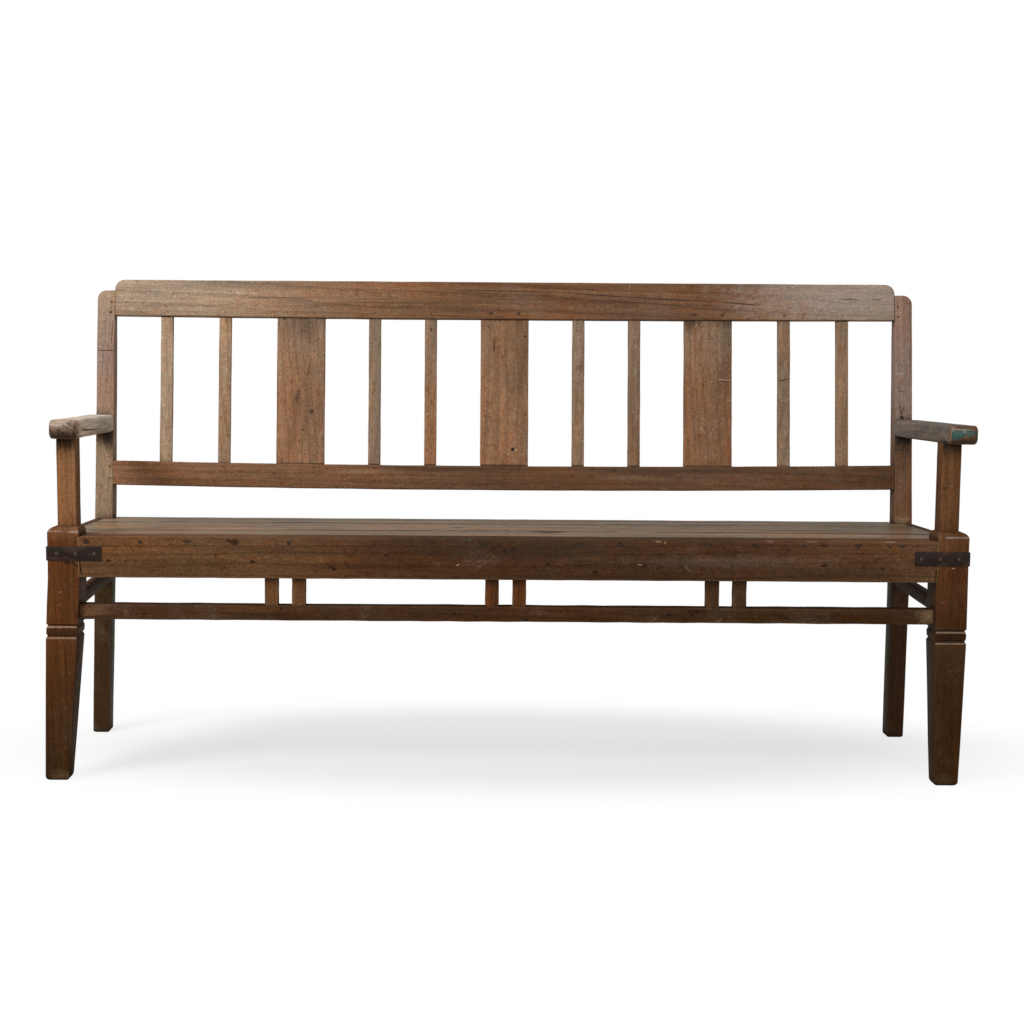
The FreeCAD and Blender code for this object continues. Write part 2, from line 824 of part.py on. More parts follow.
def make_uprights(bench):
    """The short uprights between the front stretcher and the apron, in pairs, with their pins."""
    y = centred(upright_set_back + upright_thickness / 2, upright_thickness)
    tenon_y = centred(upright_set_back + upright_thickness / 2, upright_tenon_thickness)
    top = stretcher_bottom + stretcher_depth
    pins = []
    number = 0
    for pair in range(upright_pairs):
        middle = upright_row_shift + (pair - (upright_pairs - 1) / 2) * upright_pair_pitch
        for x in centred(middle, upright_pair_spread):
            number += 1
            span = centred(x, upright_width)
            pieces = [box(span, y, (top, apron_bottom))]
            for side, face, host in ((-1, top, "front_stretcher"), (1, apron_bottom, "front_apron")):
                tenon, mortise = ends(face, side, upright_tenon_length)
                pieces.append(box(inside(*span), tenon_y, tenon))
                bench.cut(host, [grown(inside(*span), tenon_y, mortise)])
            bench.add(f"stretcher_upright_{number}", pieces[0].fuse(pieces[1:]).removeSplitter())
            level = apron_bottom + upright_pin_margin
            length = upright_set_back + upright_thickness
            pins.append(rod(x, 0, level, (0, 1, 0), length, pin_diameter))
    hosts = [f"stretcher_upright_{count + 1}" for count in range(number)]
    bench.group("upright_pins", pins, "front_apron", *hosts)


def make_back(bench):
    """The two rails of the back, the slats and splats between them, and all their pegs and pins."""
    crest_blank = crest_rail()
    lower_blank = lower_back_rail()
    crest_middle = crest_bottom + crest_belly / 2 + crest_tenon_depth / 2
    lower_middle = (lower_rail_bottom + lower_rail_top) / 2
    crest, crest_mortises, crest_pegs = tenoned_back_rail(
        crest_blank, crest_thickness, crest_middle, crest_tenon_depth, crest_peg_spacing)
    lower, lower_mortises, lower_pegs = tenoned_back_rail(
        lower_blank, lower_rail_thickness, lower_middle, lower_tenon_depth, lower_peg_spacing)
    bench.add("crest_rail", raked(crest))
    bench.add("lower_back_rail", raked(lower))
    for mortises in (crest_mortises, lower_mortises):
        bench.cut("back_post_left", [raked(mortises[0])])
        bench.cut("back_post_right", [raked(mortises[1])])
    posts = ("back_post_left", "back_post_right")
    bench.group("crest_pegs", [raked(peg) for peg in crest_pegs], "crest_rail", *posts)
    bench.group("lower_rail_pegs", [raked(peg) for peg in lower_pegs], "lower_back_rail", *posts)

    crest_pins = []
    lower_pins = []
    names = []
    splats = iter(("left", "centre", "right"))
    for middle, width in slat_places():
        piece, mortises = slat(middle, width, (crest_blank, lower_blank))
        slats = sum(name.startswith("back_slat") for name in names)
        name = f"back_splat_{next(splats)}" if width == splat_width else f"back_slat_{slats + 1}"
        names.append(name)
        bench.add(name, raked(piece))
        bench.cut("lower_back_rail", [raked(mortises[0])])
        bench.cut("crest_rail", [raked(mortises[1])])
        sag = 1 - (middle / post_inner) ** 2
        crest_level = crest_bottom - crest_belly * sag + crest_pin_margin
        lower_level = lower_rail_top - lower_rail_sag * sag - lower_pin_margin
        crest_pins += [raked(pin) for pin in slat_pins(middle, width, crest_level)]
        lower_pins += [raked(pin) for pin in slat_pins(middle, width, lower_level)]
    bench.group("crest_slat_pins", crest_pins, "crest_rail", *names)
    bench.group("lower_rail_slat_pins", lower_pins, "lower_back_rail", *names)


def make_arms(bench):
    """The arms, each tenoned into its back post and standing on a tenon of its front leg."""
    back = behind_back()
    for side, name in left_and_right:
        blank = arm_blank(half_length - (arm_left_set_in if side < 0 else arm_right_set_in))
        under = arm_underside(post_face(arm_height))
        z = inside(under + tenon_shoulder, under + arm_thickness - tenon_shoulder)
        x = centred(post_middle, arm_tenon_size)
        tenon, mortise = ends(post_face(under), 1, arm_tenon_length)
        arm = blank.cut(back).fuse(box(x, tenon, z)).removeSplitter()
        bench.add(f"arm_{name}", on_side(side, arm))
        bench.cut(f"back_post_{name}", [on_side(side, grown(x, mortise, z))])

        x = centred(arm_post_middle, arm_tenon_size)
        y = centred(arm_post_centre, arm_tenon_size)
        tenon, mortise = ends(arm_underside(arm_post_centre), 1, arm_tenon_length)
        leg = f"front_leg_{name}"
        bench.add(leg, bench.pieces[leg].fuse(on_side(side, box(x, y, tenon))).removeSplitter())
        bench.cut(f"arm_{name}", [on_side(side, grown(x, y, mortise))])


def make_seat(bench, posts):
    """The bearers, the three boards over them and the nails that hold the boards."""
    bearers = []
    places = [number * bearer_spacing for number in (-1, 0, 1)]
    for middle, name in zip(places, ("left", "centre", "right")):
        bearers.append(f"seat_bearer_{name}")
        bench.add(bearers[-1], bearer(middle))
        housing = bearer(middle, tenon_clearance, tenon_end_gap)
        bench.cut("front_apron", [housing])
        bench.cut("rear_seat_rail", [housing])

    gap = board_gap / 2
    bow = (first_seam_left, first_seam_middle, first_seam_right)
    straight = (second_seam, second_seam, second_seam)
    boards = {
        "seat_board_front": ((apron_thickness,) * 3, board_gap, bow, -gap),
        "seat_board_middle": (bow, gap, straight, -gap),
        "seat_board_back": (straight, gap, (seat_back,) * 3, 0.0),
    }
    nails = []
    for name, (front, front_gap, back, back_gap) in boards.items():
        board = seat_board(bowed_edge(*front, front_gap), bowed_edge(*back, back_gap))
        for post in posts:
            board = board.cut(post)
        bench.add(name, max(board.Solids, key=lambda solid: solid.Volume))
        front_line = max(front) + seat_nail_margin
        back_line = min(min(back), frame_depth) - seat_nail_margin / 2
        across = [-(board_end - board_rebate / 2), *places, board_end - board_rebate / 2]
        for x in across:
            for y in (front_line, back_line):
                top = seat_top(y) - seat_fall * nail_head / frame_depth
                nails.append(flush_nail(x, y, top, (0, 0, -1), seat_nail_length))
    hosts = [*boards, *bearers, "side_seat_rail_left", "side_seat_rail_right"]
    bench.group("seat_nails", nails, *hosts)


def make_iron(bench):
    """The corner straps with their nails, and the row of nails along the top of the apron."""
    nails = []
    for side, name in left_and_right:
        bench.add(f"corner_strap_{name}", on_side(side, corner_strap()))
        nails += [on_side(side, nail) for nail in strap_nails()]
    hosts = ["front_apron"]
    for side, name in left_and_right:
        hosts += [f"corner_strap_{name}", f"front_leg_{name}", f"side_seat_rail_{name}"]
    bench.group("strap_nails", nails, *hosts)

    first = -leg_inner + apron_nail_left_margin
    last = leg_inner - apron_nail_right_margin
    level = seat_height - apron_nail_drop
    row = []
    for number in range(apron_nail_count):
        x = first + (last - first) * number / (apron_nail_count - 1)
        row.append(flush_nail(x, 0.0, level, (0, 1, 0), apron_nail_length))
    bench.group("apron_nails", row, "front_apron")


def make_bench():
    """Build every piece and return the finished solids by name."""
    bench = Bench()
    legs, posts = make_legs(bench)
    make_long_rails(bench, legs, posts)
    make_side_rails(bench, legs, posts)
    make_uprights(bench)
    make_back(bench)
    make_arms(bench)
    make_seat(bench, posts)
    make_iron(bench)
    return bench.finished()


def export(pieces):
    """Put the origin on the floor under the middle of the bench and write each piece to its file."""
    os.makedirs("parts", exist_ok=True)
    reach = Part.makeCompound(list(pieces.values())).optimalBoundingBox()
    shift = FreeCAD.Vector(-reach.Center.x, -reach.Center.y, -reach.ZMin)
    for name, shape in pieces.items():
        moved = shape.copy()
        moved.translate(shift)
        moved.exportStep(f"parts/{name}.step")


export(make_bench())
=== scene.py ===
"""An old country bench: its worn wood, black iron and the plain studio it stands in."""

import json
import logging
import math
import random
from dataclasses import dataclass
from enum import Enum
from typing import Callable, Iterable, Mapping, Sequence, Union

import bmesh
import bpy
from mathutils import Matrix, Vector

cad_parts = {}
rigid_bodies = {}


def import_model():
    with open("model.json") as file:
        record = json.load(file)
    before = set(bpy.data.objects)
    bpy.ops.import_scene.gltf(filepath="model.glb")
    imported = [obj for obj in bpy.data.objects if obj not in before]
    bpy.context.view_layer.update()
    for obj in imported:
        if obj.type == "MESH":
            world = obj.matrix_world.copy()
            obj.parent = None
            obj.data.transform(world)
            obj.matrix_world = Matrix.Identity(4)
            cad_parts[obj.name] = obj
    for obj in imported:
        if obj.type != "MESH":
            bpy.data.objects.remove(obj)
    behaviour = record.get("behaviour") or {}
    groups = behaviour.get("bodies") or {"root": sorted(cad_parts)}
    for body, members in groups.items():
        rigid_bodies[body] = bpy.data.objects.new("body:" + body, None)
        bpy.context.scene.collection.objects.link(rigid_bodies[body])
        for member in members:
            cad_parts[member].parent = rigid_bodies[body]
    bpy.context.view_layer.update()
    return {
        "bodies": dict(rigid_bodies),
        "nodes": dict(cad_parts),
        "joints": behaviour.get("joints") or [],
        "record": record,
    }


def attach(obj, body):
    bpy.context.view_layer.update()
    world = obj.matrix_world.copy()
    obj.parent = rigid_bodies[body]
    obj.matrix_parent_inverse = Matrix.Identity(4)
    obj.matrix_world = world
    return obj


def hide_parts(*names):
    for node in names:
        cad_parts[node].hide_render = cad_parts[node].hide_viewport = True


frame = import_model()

LOG = logging.getLogger("bench")
MM = 0.001
PLAN_TO_FRAME = Vector((0.08, -227.068, 0.0)) * MM

Triple = tuple[float, float, float]
Pair = tuple[float, float]
Colour = Triple

SPLAT_PLACES = (-425.0, 0.0, 425.0)
SLAT_PLACES = (-705.3, -583.9, -271.0, -154.3, 154.3, 271.0, 583.9, 705.3)
UPRIGHT_PLACES = (-438.8, -388.0, -29.2, 21.6, 380.4, 431.2)


# Shaders


class Number:
    """A number that varies over a surface, so that Python's operators add the Math nodes."""

    def __init__(self, graph: "Graph", socket: bpy.types.NodeSocket) -> None:
        """Wrap a socket.

        Args:
            graph: The material that the socket belongs to.
            socket: The output that gives the number.
        """
        self.graph = graph
        self.socket = socket

    def _math(self, operation: str, *values: "Value") -> "Number":
        """Add one Math node.

        Args:
            operation: The node's operation.
            values: Its inputs, in order.

        Returns:
            The result.
        """
        node = self.graph.add("ShaderNodeMath", {"operation": operation}, dict(enumerate(values)))
        return Number(self.graph, node.outputs[0])

    def __add__(self, other: "Value") -> "Number":
        """Return self + other."""
        return self._math("ADD", self, other)

    def __radd__(self, other: "Value") -> "Number":
        """Return other + self."""
        return self._math("ADD", other, self)

    def __sub__(self, other: "Value") -> "Number":
        """Return self - other."""
        return self._math("SUBTRACT", self, other)

    def __rsub__(self, other: "Value") -> "Number":
        """Return other - self."""
        return self._math("SUBTRACT", other, self)

    def __mul__(self, other: "Value") -> "Number":
        """Return self * other."""
        return self._math("MULTIPLY", self, other)

    def __rmul__(self, other: "Value") -> "Number":
        """Return other * self."""
        return self._math("MULTIPLY", other, self)

    def __truediv__(self, other: "Value") -> "Number":
        """Return self / other."""
        return self._math("DIVIDE", self, other)

    def __rtruediv__(self, other: "Value") -> "Number":
        """Return other / self."""
        return self._math("DIVIDE", other, self)

    def __or__(self, other: "Value") -> "Number":
        """Return the larger of the two, which joins two masks."""
        return self._math("MAXIMUM", self, other)

    def __and__(self, other: "Value") -> "Number":
        """Return the smaller of the two, which is where two masks meet."""
        return self._math("MINIMUM", self, other)

    def size(self) -> "Number":
        """Return the number without its sign."""
        return self._math("ABSOLUTE", self)

    def root(self) -> "Number":
        """Return the square root."""
        return self._math("SQRT", self)

    def between(self, low: float, high: float) -> "Number":
        """Rise smoothly from 0 at low to 1 at high.

        Args:
            low: Where the mask starts.
            high: Where it is full. It may be below low, and then the mask falls.

        Returns:
            The mask.
        """
        settings = {"interpolation_type": "SMOOTHSTEP"}
        first, last = (low, high) if low < high else (high, low)
        node = self.graph.add("ShaderNodeMapRange", settings, {0: self, 1: first, 2: last})
        rising = Number(self.graph, node.outputs[0])
        return rising if low < high else 1 - rising


Value = Union[Number, float, int]


class Tone:
    """A colour that varies over a surface, mixed with Mix nodes."""

    def __init__(self, graph: "Graph", socket: bpy.types.NodeSocket) -> None:
        """Wrap a socket.

        Args:
            graph: The material that the socket belongs to.
            socket: The output that gives the colour.
        """
        self.graph = graph
        self.socket = socket

    def mix(self, other: "Paint", amount: Value, blend: str = "MIX") -> "Tone":
        """Lay another colour over this one.

        Args:
            other: The colour that is laid over.
            amount: How much of it, from 0 to 1.
            blend: The way of blending.

        Returns:
            The mixed colour.
        """
        paint = other if isinstance(other, Tone) else (*other, 1.0)
        settings = {"data_type": "RGBA", "blend_type": blend, "clamp_result": True}
        node = self.graph.add("ShaderNodeMix", settings, {0: amount, 6: self, 7: paint})
        return Tone(self.graph, node.outputs[2])

    def shade(self, amount: Value) -> "Tone":
        """Make the colour lighter or darker by a factor."""
        settings = {"operation": "SCALE"}
        node = self.graph.add("ShaderNodeVectorMath", settings, {0: self, 3: amount})
        return Tone(self.graph, node.outputs[0])

    def tinted(self, tint: Colour) -> "Tone":
        """Multiply the red, green and blue by three factors."""
        settings = {"operation": "MULTIPLY"}
        node = self.graph.add("ShaderNodeVectorMath", settings, {0: self, 1: tint})
        return Tone(self.graph, node.outputs[0])


Paint = Union[Tone, Colour]


class Spot:
    """The place of a point on a surface, in metres."""

    def __init__(self, graph: "Graph", socket: bpy.types.NodeSocket) -> None:
        """Wrap a socket.

        Args:
            graph: The material that the socket belongs to.
            socket: The output that gives the place.
        """
        self.graph = graph
        self.socket = socket

    def scaled(self, scale: Triple, shift: Triple = (0.0, 0.0, 0.0)) -> "Spot":
        """Stretch and shift the place, as a texture needs.

        Args:
            scale: The factors along X, Y and Z.
            shift: What is added afterwards.

        Returns:
            The new place.
        """
        settings = {"operation": "MULTIPLY_ADD"}
        node = self.graph.add("ShaderNodeVectorMath", settings, {0: self, 1: scale, 2: shift})
        return Spot(self.graph, node.outputs[0])

    def parts(self) -> tuple[Number, Number, Number]:
        """Return the X, Y and Z of the place."""
        node = self.graph.add("ShaderNodeSeparateXYZ", None, {0: self})
        return tuple(Number(self.graph, socket) for socket in node.outputs)

    def noise(
        self, detail: float = 3.0, roughness: float = 0.55, distortion: float = 0.0
    ) -> Number:
        """Return a noise from 0 to 1 that changes once per unit of the place."""
        inputs = {"Vector": self, "Scale": 1.0, "Detail": detail, "Roughness": roughness}
        inputs["Distortion"] = distortion
        node = self.graph.add("ShaderNodeTexNoise", None, inputs)
        return Number(self.graph, node.outputs[0])

    def turned(self, turn: Triple, scale: Triple) -> "Spot":
        """Turn and then stretch the place.

        Args:
            turn: The turns about X, Y and Z, in degrees.
            scale: The factors along the turned axes.

        Returns:
            The new place.
        """
        angles = tuple(math.radians(angle) for angle in turn)
        node = self.graph.add("ShaderNodeMapping", {"vector_type": "POINT"}, {0: self, 2: angles})
        return Spot(self.graph, node.outputs[0]).scaled(scale)

    def reach(self, centre: Triple, half: Triple, turn: Triple = (0.0, 0.0, 0.0)) -> Number:
        """Measure how far the place is from a centre, as a share of an ellipse's half sizes.

        Args:
            centre: The middle, in metres.
            half: The half sizes along X, Y and Z.
            turn: The ellipse's turns about X, Y and Z, in degrees.

        Returns:
            A number that is 1 on the ellipse.
        """
        angles = tuple(math.radians(angle) for angle in turn)
        inputs = {0: self, 1: centre, 2: angles, 3: half}
        mapped = self.graph.add("ShaderNodeMapping", {"vector_type": "TEXTURE"}, inputs)
        settings = {"operation": "LENGTH"}
        node = self.graph.add("ShaderNodeVectorMath", settings, {0: mapped.outputs[0]})
        return Number(self.graph, node.outputs[1])


class Graph:
    """The node tree of a material or of the world."""

    def __init__(self, owner: Union[bpy.types.Material, bpy.types.World]) -> None:
        """Empty the owner's tree.

        Args:
            owner: What the tree belongs to.
        """
        owner.use_nodes = True
        self.owner = owner
        self.tree = owner.node_tree
        self.tree.nodes.clear()

    def add(
        self,
        kind: str,
        settings: Mapping[str, object] | None = None,
        sockets: Mapping[Union[int, str], object] | None = None,
    ) -> bpy.types.Node:
        """Add a node of any kind.

        Args:
            kind: The node's type.
            settings: Its settings, set before its sockets; "stops" fills a colour ramp.
            sockets: What goes into its inputs: a value, or something to link.

        Returns:
            The node.
        """
        node = self.tree.nodes.new(kind)
        for key, value in (settings or {}).items():
            if key == "stops":
                self._fill_ramp(node.color_ramp, value)
            else:
                setattr(node, key, value)
        for key, value in (sockets or {}).items():
            source = value.socket if isinstance(value, (Number, Tone, Spot)) else value
            if isinstance(source, bpy.types.NodeSocket):
                self.tree.links.new(source, node.inputs[key])
            else:
                node.inputs[key].default_value = source
        return node

    @staticmethod
    def _fill_ramp(ramp: bpy.types.ColorRamp, stops: Sequence[tuple[float, Colour]]) -> None:
        """Put stops on a colour ramp, from 0 to 1."""
        while len(ramp.elements) < len(stops):
            ramp.elements.new(1.0)
        for element, (place, colour) in zip(ramp.elements, stops):
            element.position = place
            element.color = (*colour, 1.0)

    def spot(self) -> Spot:
        """Return the place on the surface in the bench's own frame."""
        return Spot(self, self.add("ShaderNodeTexCoord").outputs["Object"])

    def colour(self, value: Colour) -> Tone:
        """Return a colour as something that can be mixed."""
        node = self.add("ShaderNodeRGB")
        node.outputs[0].default_value = (*value, 1.0)
        return Tone(self, node.outputs[0])

    def facing(self) -> tuple[Number, Number, Number]:
        """Return the X, Y and Z of the surface's normal."""
        return Spot(self, self.add("ShaderNodeNewGeometry").outputs["True Normal"]).parts()

    def edges(self, radius: float) -> Number:
        """Return a mask of the arrises, 1 on them and 0 on the flats.

        Args:
            radius: How far in the mask reaches, in metres.

        Returns:
            The mask.
        """
        rounded = self.add("ShaderNodeBevel", {"samples": 6}, {"Radius": radius})
        flat = self.add("ShaderNodeNewGeometry")
        settings = {"operation": "DOT_PRODUCT"}
        inputs = {0: rounded.outputs[0], 1: flat.outputs["True Normal"]}
        node = self.add("ShaderNodeVectorMath", settings, inputs)
        return Number(self, node.outputs[1]).between(0.998, 0.86)

    def corners(self, distance: float) -> Number:
        """Return an ambient occlusion mask of inner corners and joints, 1 deep in them and 0
        in the open, with which the woods paint shade and grime there.

        Args:
            distance: How far out the mask reaches, in metres.

        Returns:
            The mask.
        """
        settings = {"samples": 6}
        node = self.add("ShaderNodeAmbientOcclusion", settings, {"Distance": distance})
        return Number(self, node.outputs["AO"]).between(0.92, 0.35)

    def surface(
        self, shade: Mapping[str, object], relief: Number, strength: float
    ) -> bpy.types.Material:
        """Finish the material.

        Args:
            shade: What goes into the surface shader's sockets.
            relief: The height of the surface, in metres.
            strength: How strongly it shows.

        Returns:
            The material.
        """
        sockets = {"Strength": strength, "Distance": 1.0, "Height": relief}
        bump = self.add("ShaderNodeBump", None, sockets)
        inputs = {**shade, "Normal": bump.outputs[0]}
        shader = self.add("ShaderNodeBsdfPrincipled", None, inputs)
        self.add("ShaderNodeOutputMaterial", None, {"Surface": shader.outputs[0]})
        return self.owner


# Marks on the wood: what use has left, and painted shade and highlights


class Kind(Enum):
    """What a mark on the surface is."""

    # Real stains, and also painted shade under the arms and arm noses, on side faces, in the collar
    # grooves and under the crest rail.
    STAIN_AND_SHADE = "stain"
    HOLE = "hole"
    # Real scratches, and also painted highlights on the lips of the leg collars.
    SCRATCH_AND_HIGHLIGHT = "scratch"
    CHIP = "chip"
    PAINT = "paint"
    # Grey weathering, and also painted highlights on the arm noses and the leg shoulders.
    GREY = "grey"
    DARK = "dark"


class Plane(Enum):
    """The side of a piece that a mark lies on, with the axis that it looks along."""

    FRONT = 1
    SIDE = 0
    TOP = 2


@dataclass(frozen=True)
class Mark:
    """One mark: an ellipse with a ragged edge.

    Its middle is given by two plan coordinates in millimetres: X and Z on a front, Y and Z on
    a side, and X and Y on a top. A soft mark fades out slowly.
    """

    kind: Kind
    across: float
    up: float
    width: float
    height: float
    turn: float = 0.0
    strength: float = 1.0
    plane: Plane = Plane.FRONT
    soft: bool = False

    def mask(self, spot: Spot, ragged: Number, seen: Number) -> Number:
        """Return the mark's mask.

        Args:
            spot: The place on the surface.
            ragged: A noise that frays the mark's edge.
            seen: A mask of the surfaces that face the right way.

        Returns:
            The mask, from 0 to 1.
        """
        axis = self.plane.value
        middle = [self.across, self.up]
        half = [self.width / 2, self.height / 2]
        middle.insert(axis, 0.0)
        half.insert(axis, 1e6)
        turn = [0.0, 0.0, 0.0]
        turn[axis] = self.turn
        centre = Vector(middle) * MM + PLAN_TO_FRAME
        size = tuple(value * MM for value in half)
        reach = spot.reach(tuple(centre), size, tuple(turn)) + ragged
        fade = reach.between(1.5, 0.1) if self.soft else reach.between(1.15, 0.75)
        return fade * seen * self.strength


@dataclass(frozen=True)
class Row:
    """A row of equal marks on a front: their places along the bench and their height, in mm."""

    kind: Kind
    places: Sequence[float]
    up: float
    width: float
    height: float
    strength: float = 1.0
    plane: Plane = Plane.FRONT

    def mask(self, spot: Spot, ragged: Number, seen: Number) -> Number:
        """Return the row's mask.

        Args:
            spot: The place on the surface.
            ragged: A noise that frays the marks' edges.
            seen: A mask of the surfaces that face the right way.

        Returns:
            The mask, from 0 to 1.
        """
        along, _, upward = spot.parts()
        nearest: Number | None = None
        for place in self.places:
            distance = (along - (place * MM + PLAN_TO_FRAME.x)).size()
            nearest = distance if nearest is None else nearest & distance
        across = nearest * (2 / (self.width * MM))
        above = (upward - self.up * MM) * (2 / (self.height * MM))
        reach = (across * across + above * above).root() + ragged
        return reach.between(1.15, 0.75) * seen * self.strength


# The stain colour also paints shade; the scratch and grey colours also paint highlights.
MARK_COLOURS: dict[Kind, Colour] = {
    Kind.STAIN_AND_SHADE: (0.016, 0.0085, 0.005),
    Kind.HOLE: (0.006, 0.004, 0.003),
    Kind.SCRATCH_AND_HIGHLIGHT: (0.36, 0.25, 0.17),
    Kind.CHIP: (0.38, 0.25, 0.13),
    Kind.PAINT: (0.014, 0.070, 0.058),
    Kind.GREY: (0.330, 0.265, 0.225),
    Kind.DARK: (0.035, 0.020, 0.012),
}

MARK_DEPTHS: dict[Kind, float] = {
    Kind.STAIN_AND_SHADE: 0.0,
    Kind.HOLE: -0.0025,
    Kind.SCRATCH_AND_HIGHLIGHT: -0.0002,
    Kind.CHIP: -0.0008,
    Kind.PAINT: 0.0,
    Kind.GREY: 0.0,
    Kind.DARK: 0.0,
}


class Grain(Enum):
    """The direction that the grain runs in, as the order of the plan axes: along, then across."""

    LENGTH = 0
    DEPTH = 1
    HEIGHT = 2

    def stretch(self, along: float, across: float) -> Triple:
        """Return the scale of a texture that is drawn out along the grain."""
        scale = [across, across, across]
        scale[self.value] = along
        return tuple(scale)


class Hue(Enum):
    """The browns that the bench's wood has taken on."""

    RED = (0.092, 0.0325, 0.0100)
    DEEP = (0.043, 0.0185, 0.0058)
    ORANGE = (0.205, 0.0985, 0.044)
    OCHRE = (0.112, 0.054, 0.0235)
    UMBER = (0.054, 0.0245, 0.0105)
    BROWN = (0.150, 0.073, 0.036)
    CHESTNUT = (0.215, 0.108, 0.055)
    NUT = (0.245, 0.129, 0.069)
    TAUPE = (0.220, 0.150, 0.100)
    STRAW = (0.252, 0.172, 0.110)
    BONE = (0.325, 0.224, 0.148)
    MAUVE = (0.245, 0.165, 0.134)
    ASH = (0.590, 0.515, 0.435)
    SLATE = (0.122, 0.101, 0.086)
    SEAT = (0.190, 0.120, 0.072)
    RAW = (0.150, 0.092, 0.052)
    OLIVE = (0.046, 0.0230, 0.0075)


Tones = Sequence[tuple[float, Hue]]
Marks = Sequence[Union[Mark, Row]]


WARMER: Colour = (1.10, 0.98, 0.86)
DULLER: Colour = (0.84, 0.86, 0.84)
RUDDIER: Colour = (1.12, 0.97, 0.84)
COOLER: Colour = (0.90, 0.99, 0.97)


@dataclass(frozen=True)
class Wood:
    """An old, waxed and worn wood."""

    name: str
    worn: Colour = (0.30, 0.19, 0.115)
    # Dark grime; also the colour of the painted shade in corners and joints.
    grime_and_shade: Colour = (0.020, 0.011, 0.0065)
    haze: Colour = (0.235, 0.185, 0.140)
    hazed: float = 0.25
    streaked: float = 0.5
    fibrous: float = 0.7
    figured: float = 0.4
    flecked: float = 0.35
    stained: float = 0.55
    scratched: float = 0.35
    edge_wear: float = 0.5
    edge_reach: float = 0.0032
    # How strongly the dark colour fills corners and joints: partly grime, partly painted shade.
    corner_grime_and_shade: float = 0.85
    gloss: float = 0.46
    sheen: float = 0.12
    relief: float = 1.0

    def dress(
        self, piece: str, grain: Grain, seed: int, tones: Tones, marks: Marks = ()
    ) -> bpy.types.Material:
        """Make the material of one piece.

        Args:
            piece: The piece's name.
            grain: The direction of its grain.
            seed: A number that gives the piece its own cut of the tree.
            tones: Its browns, each with its place along the grain in millimetres of the plan.
            marks: The marks on it.

        Returns:
            The material.
        """
        graph = Graph(bpy.data.materials.new(f"{self.name}_{piece}"))
        rng = random.Random(seed * 7919 + 13)
        shift = tuple(rng.uniform(-40, 40) for _ in range(3))
        spot = graph.spot()

        def layer(along: float, across: float, *shape: float) -> Number:
            """Return a noise drawn out along the grain, in cycles per metre."""
            return spot.scaled(grain.stretch(along, across), shift).noise(*shape)

        drift = layer(2.4, 13.0, 3.0, 0.5)
        bands = layer(2.4, 70.0, 4.0, 0.62, 0.4)
        streaks = layer(9.0, 210.0, 3.0, 0.6)
        fibres = layer(40.0, 520.0, 2.0, 0.6)
        speckle = layer(250.0, 330.0, 3.0, 0.65)
        mottle = layer(48.0, 66.0, 5.0, 0.68, 0.5)
        smudge = layer(8.0, 12.0, 4.0, 0.6, 0.4)

        rings = self._rings(graph, spot, grain, shift, bands)
        tone = self._body(graph, spot, grain, tones, smudge)
        tone = tone.mix(tone.tinted(WARMER), drift.between(0.46, 0.62))
        tone = tone.mix(tone.tinted(DULLER), drift.between(0.50, 0.34))
        tone = tone.mix(tone.shade(1.5), bands.between(0.50, 0.70) * self.streaked)
        tone = tone.mix(tone.shade(0.55), bands.between(0.49, 0.30) * self.streaked)
        tone = tone.mix(tone.shade(0.42), rings * self.figured)
        tone = tone.mix(tone.tinted(RUDDIER), mottle.between(0.50, 0.62) * 0.7)
        tone = tone.mix(tone.tinted(COOLER), mottle.between(0.48, 0.36) * 0.7)
        texture = 1.0 + (streaks + fibres - 1.0) * self.fibrous + (speckle - 0.5) * 1.4
        tone = tone.shade(texture)
        tone = tone.mix(tone.shade(1.8), speckle.between(0.60, 0.72) * self.flecked)
        tone = tone.mix(self.grime_and_shade, speckle.between(0.38, 0.28) * self.flecked)
        tone = tone.mix(tone.shade(0.38), mottle.between(0.57, 0.70) * self.stained)
        tone = tone.mix(tone.shade(1.5), mottle.between(0.45, 0.33) * 0.55)
        haze = graph.colour(self.haze).shade(texture)
        tone = tone.mix(haze, smudge.between(0.50, 0.70) * self.hazed)
        scratches = self._scratches(spot, shift, smudge)
        tone = tone.mix(self.worn, scratches * self.scratched)

        # Worn arrises take the worn colour; where it is dark, as on the seat boards, it also paints
        # shade along the edges.
        edges = graph.edges(self.edge_reach) * (mottle * 0.8 + fibres * 0.5).between(0.42, 0.74)
        tone = tone.mix(self.worn, edges * self.edge_wear)
        # Partly grime, partly painted shade: ambient occlusion darkens corners and joints.
        corners = graph.corners(0.022)
        tone = tone.mix(self.grime_and_shade, corners * self.corner_grime_and_shade)

        relief = bands * 0.0005 + streaks * 0.00025 + fibres * 0.0001
        relief = relief + mottle * 0.0010 + speckle * 0.0002
        relief = relief - scratches * 0.0003
        gloss = self.gloss + (streaks - 0.5) * 0.3 + (mottle - 0.5) * 0.4 + corners * 0.2
        fray = (streaks - 0.5) * 1.1 + (mottle - 0.5) * 1.2
        tone, relief = self._marked(graph, spot, marks, tone, relief, fray, texture)
        shade = {"Base Color": tone, "Roughness": gloss, "Specular IOR Level": self.sheen}
        return graph.surface(shade, relief, 0.5 * self.relief)

    @staticmethod
    def _body(graph: Graph, spot: Spot, grain: Grain, tones: Tones, wander: Number) -> Tone:
        """Return the wood's base colour, which changes along the grain.

        Args:
            graph: The material.
            spot: The place on the surface.
            grain: The direction of the grain.
            tones: The browns and their places.
            wander: A noise that blurs where one brown gives way to the next.

        Returns:
            The colour.
        """
        if len(tones) == 1:
            return graph.colour(tones[0][1].value)
        places = [place * MM + PLAN_TO_FRAME[grain.value] for place, _ in tones]
        length = places[-1] - places[0]
        share = (spot.parts()[grain.value] + (wander - 0.5) * 0.12 - places[0]) / length
        stops = [
            ((place - places[0]) / length, hue.value) for place, (_, hue) in zip(places, tones)
        ]
        node = graph.add("ShaderNodeValToRGB", {"stops": stops}, {0: share})
        return Tone(graph, node.outputs[0])

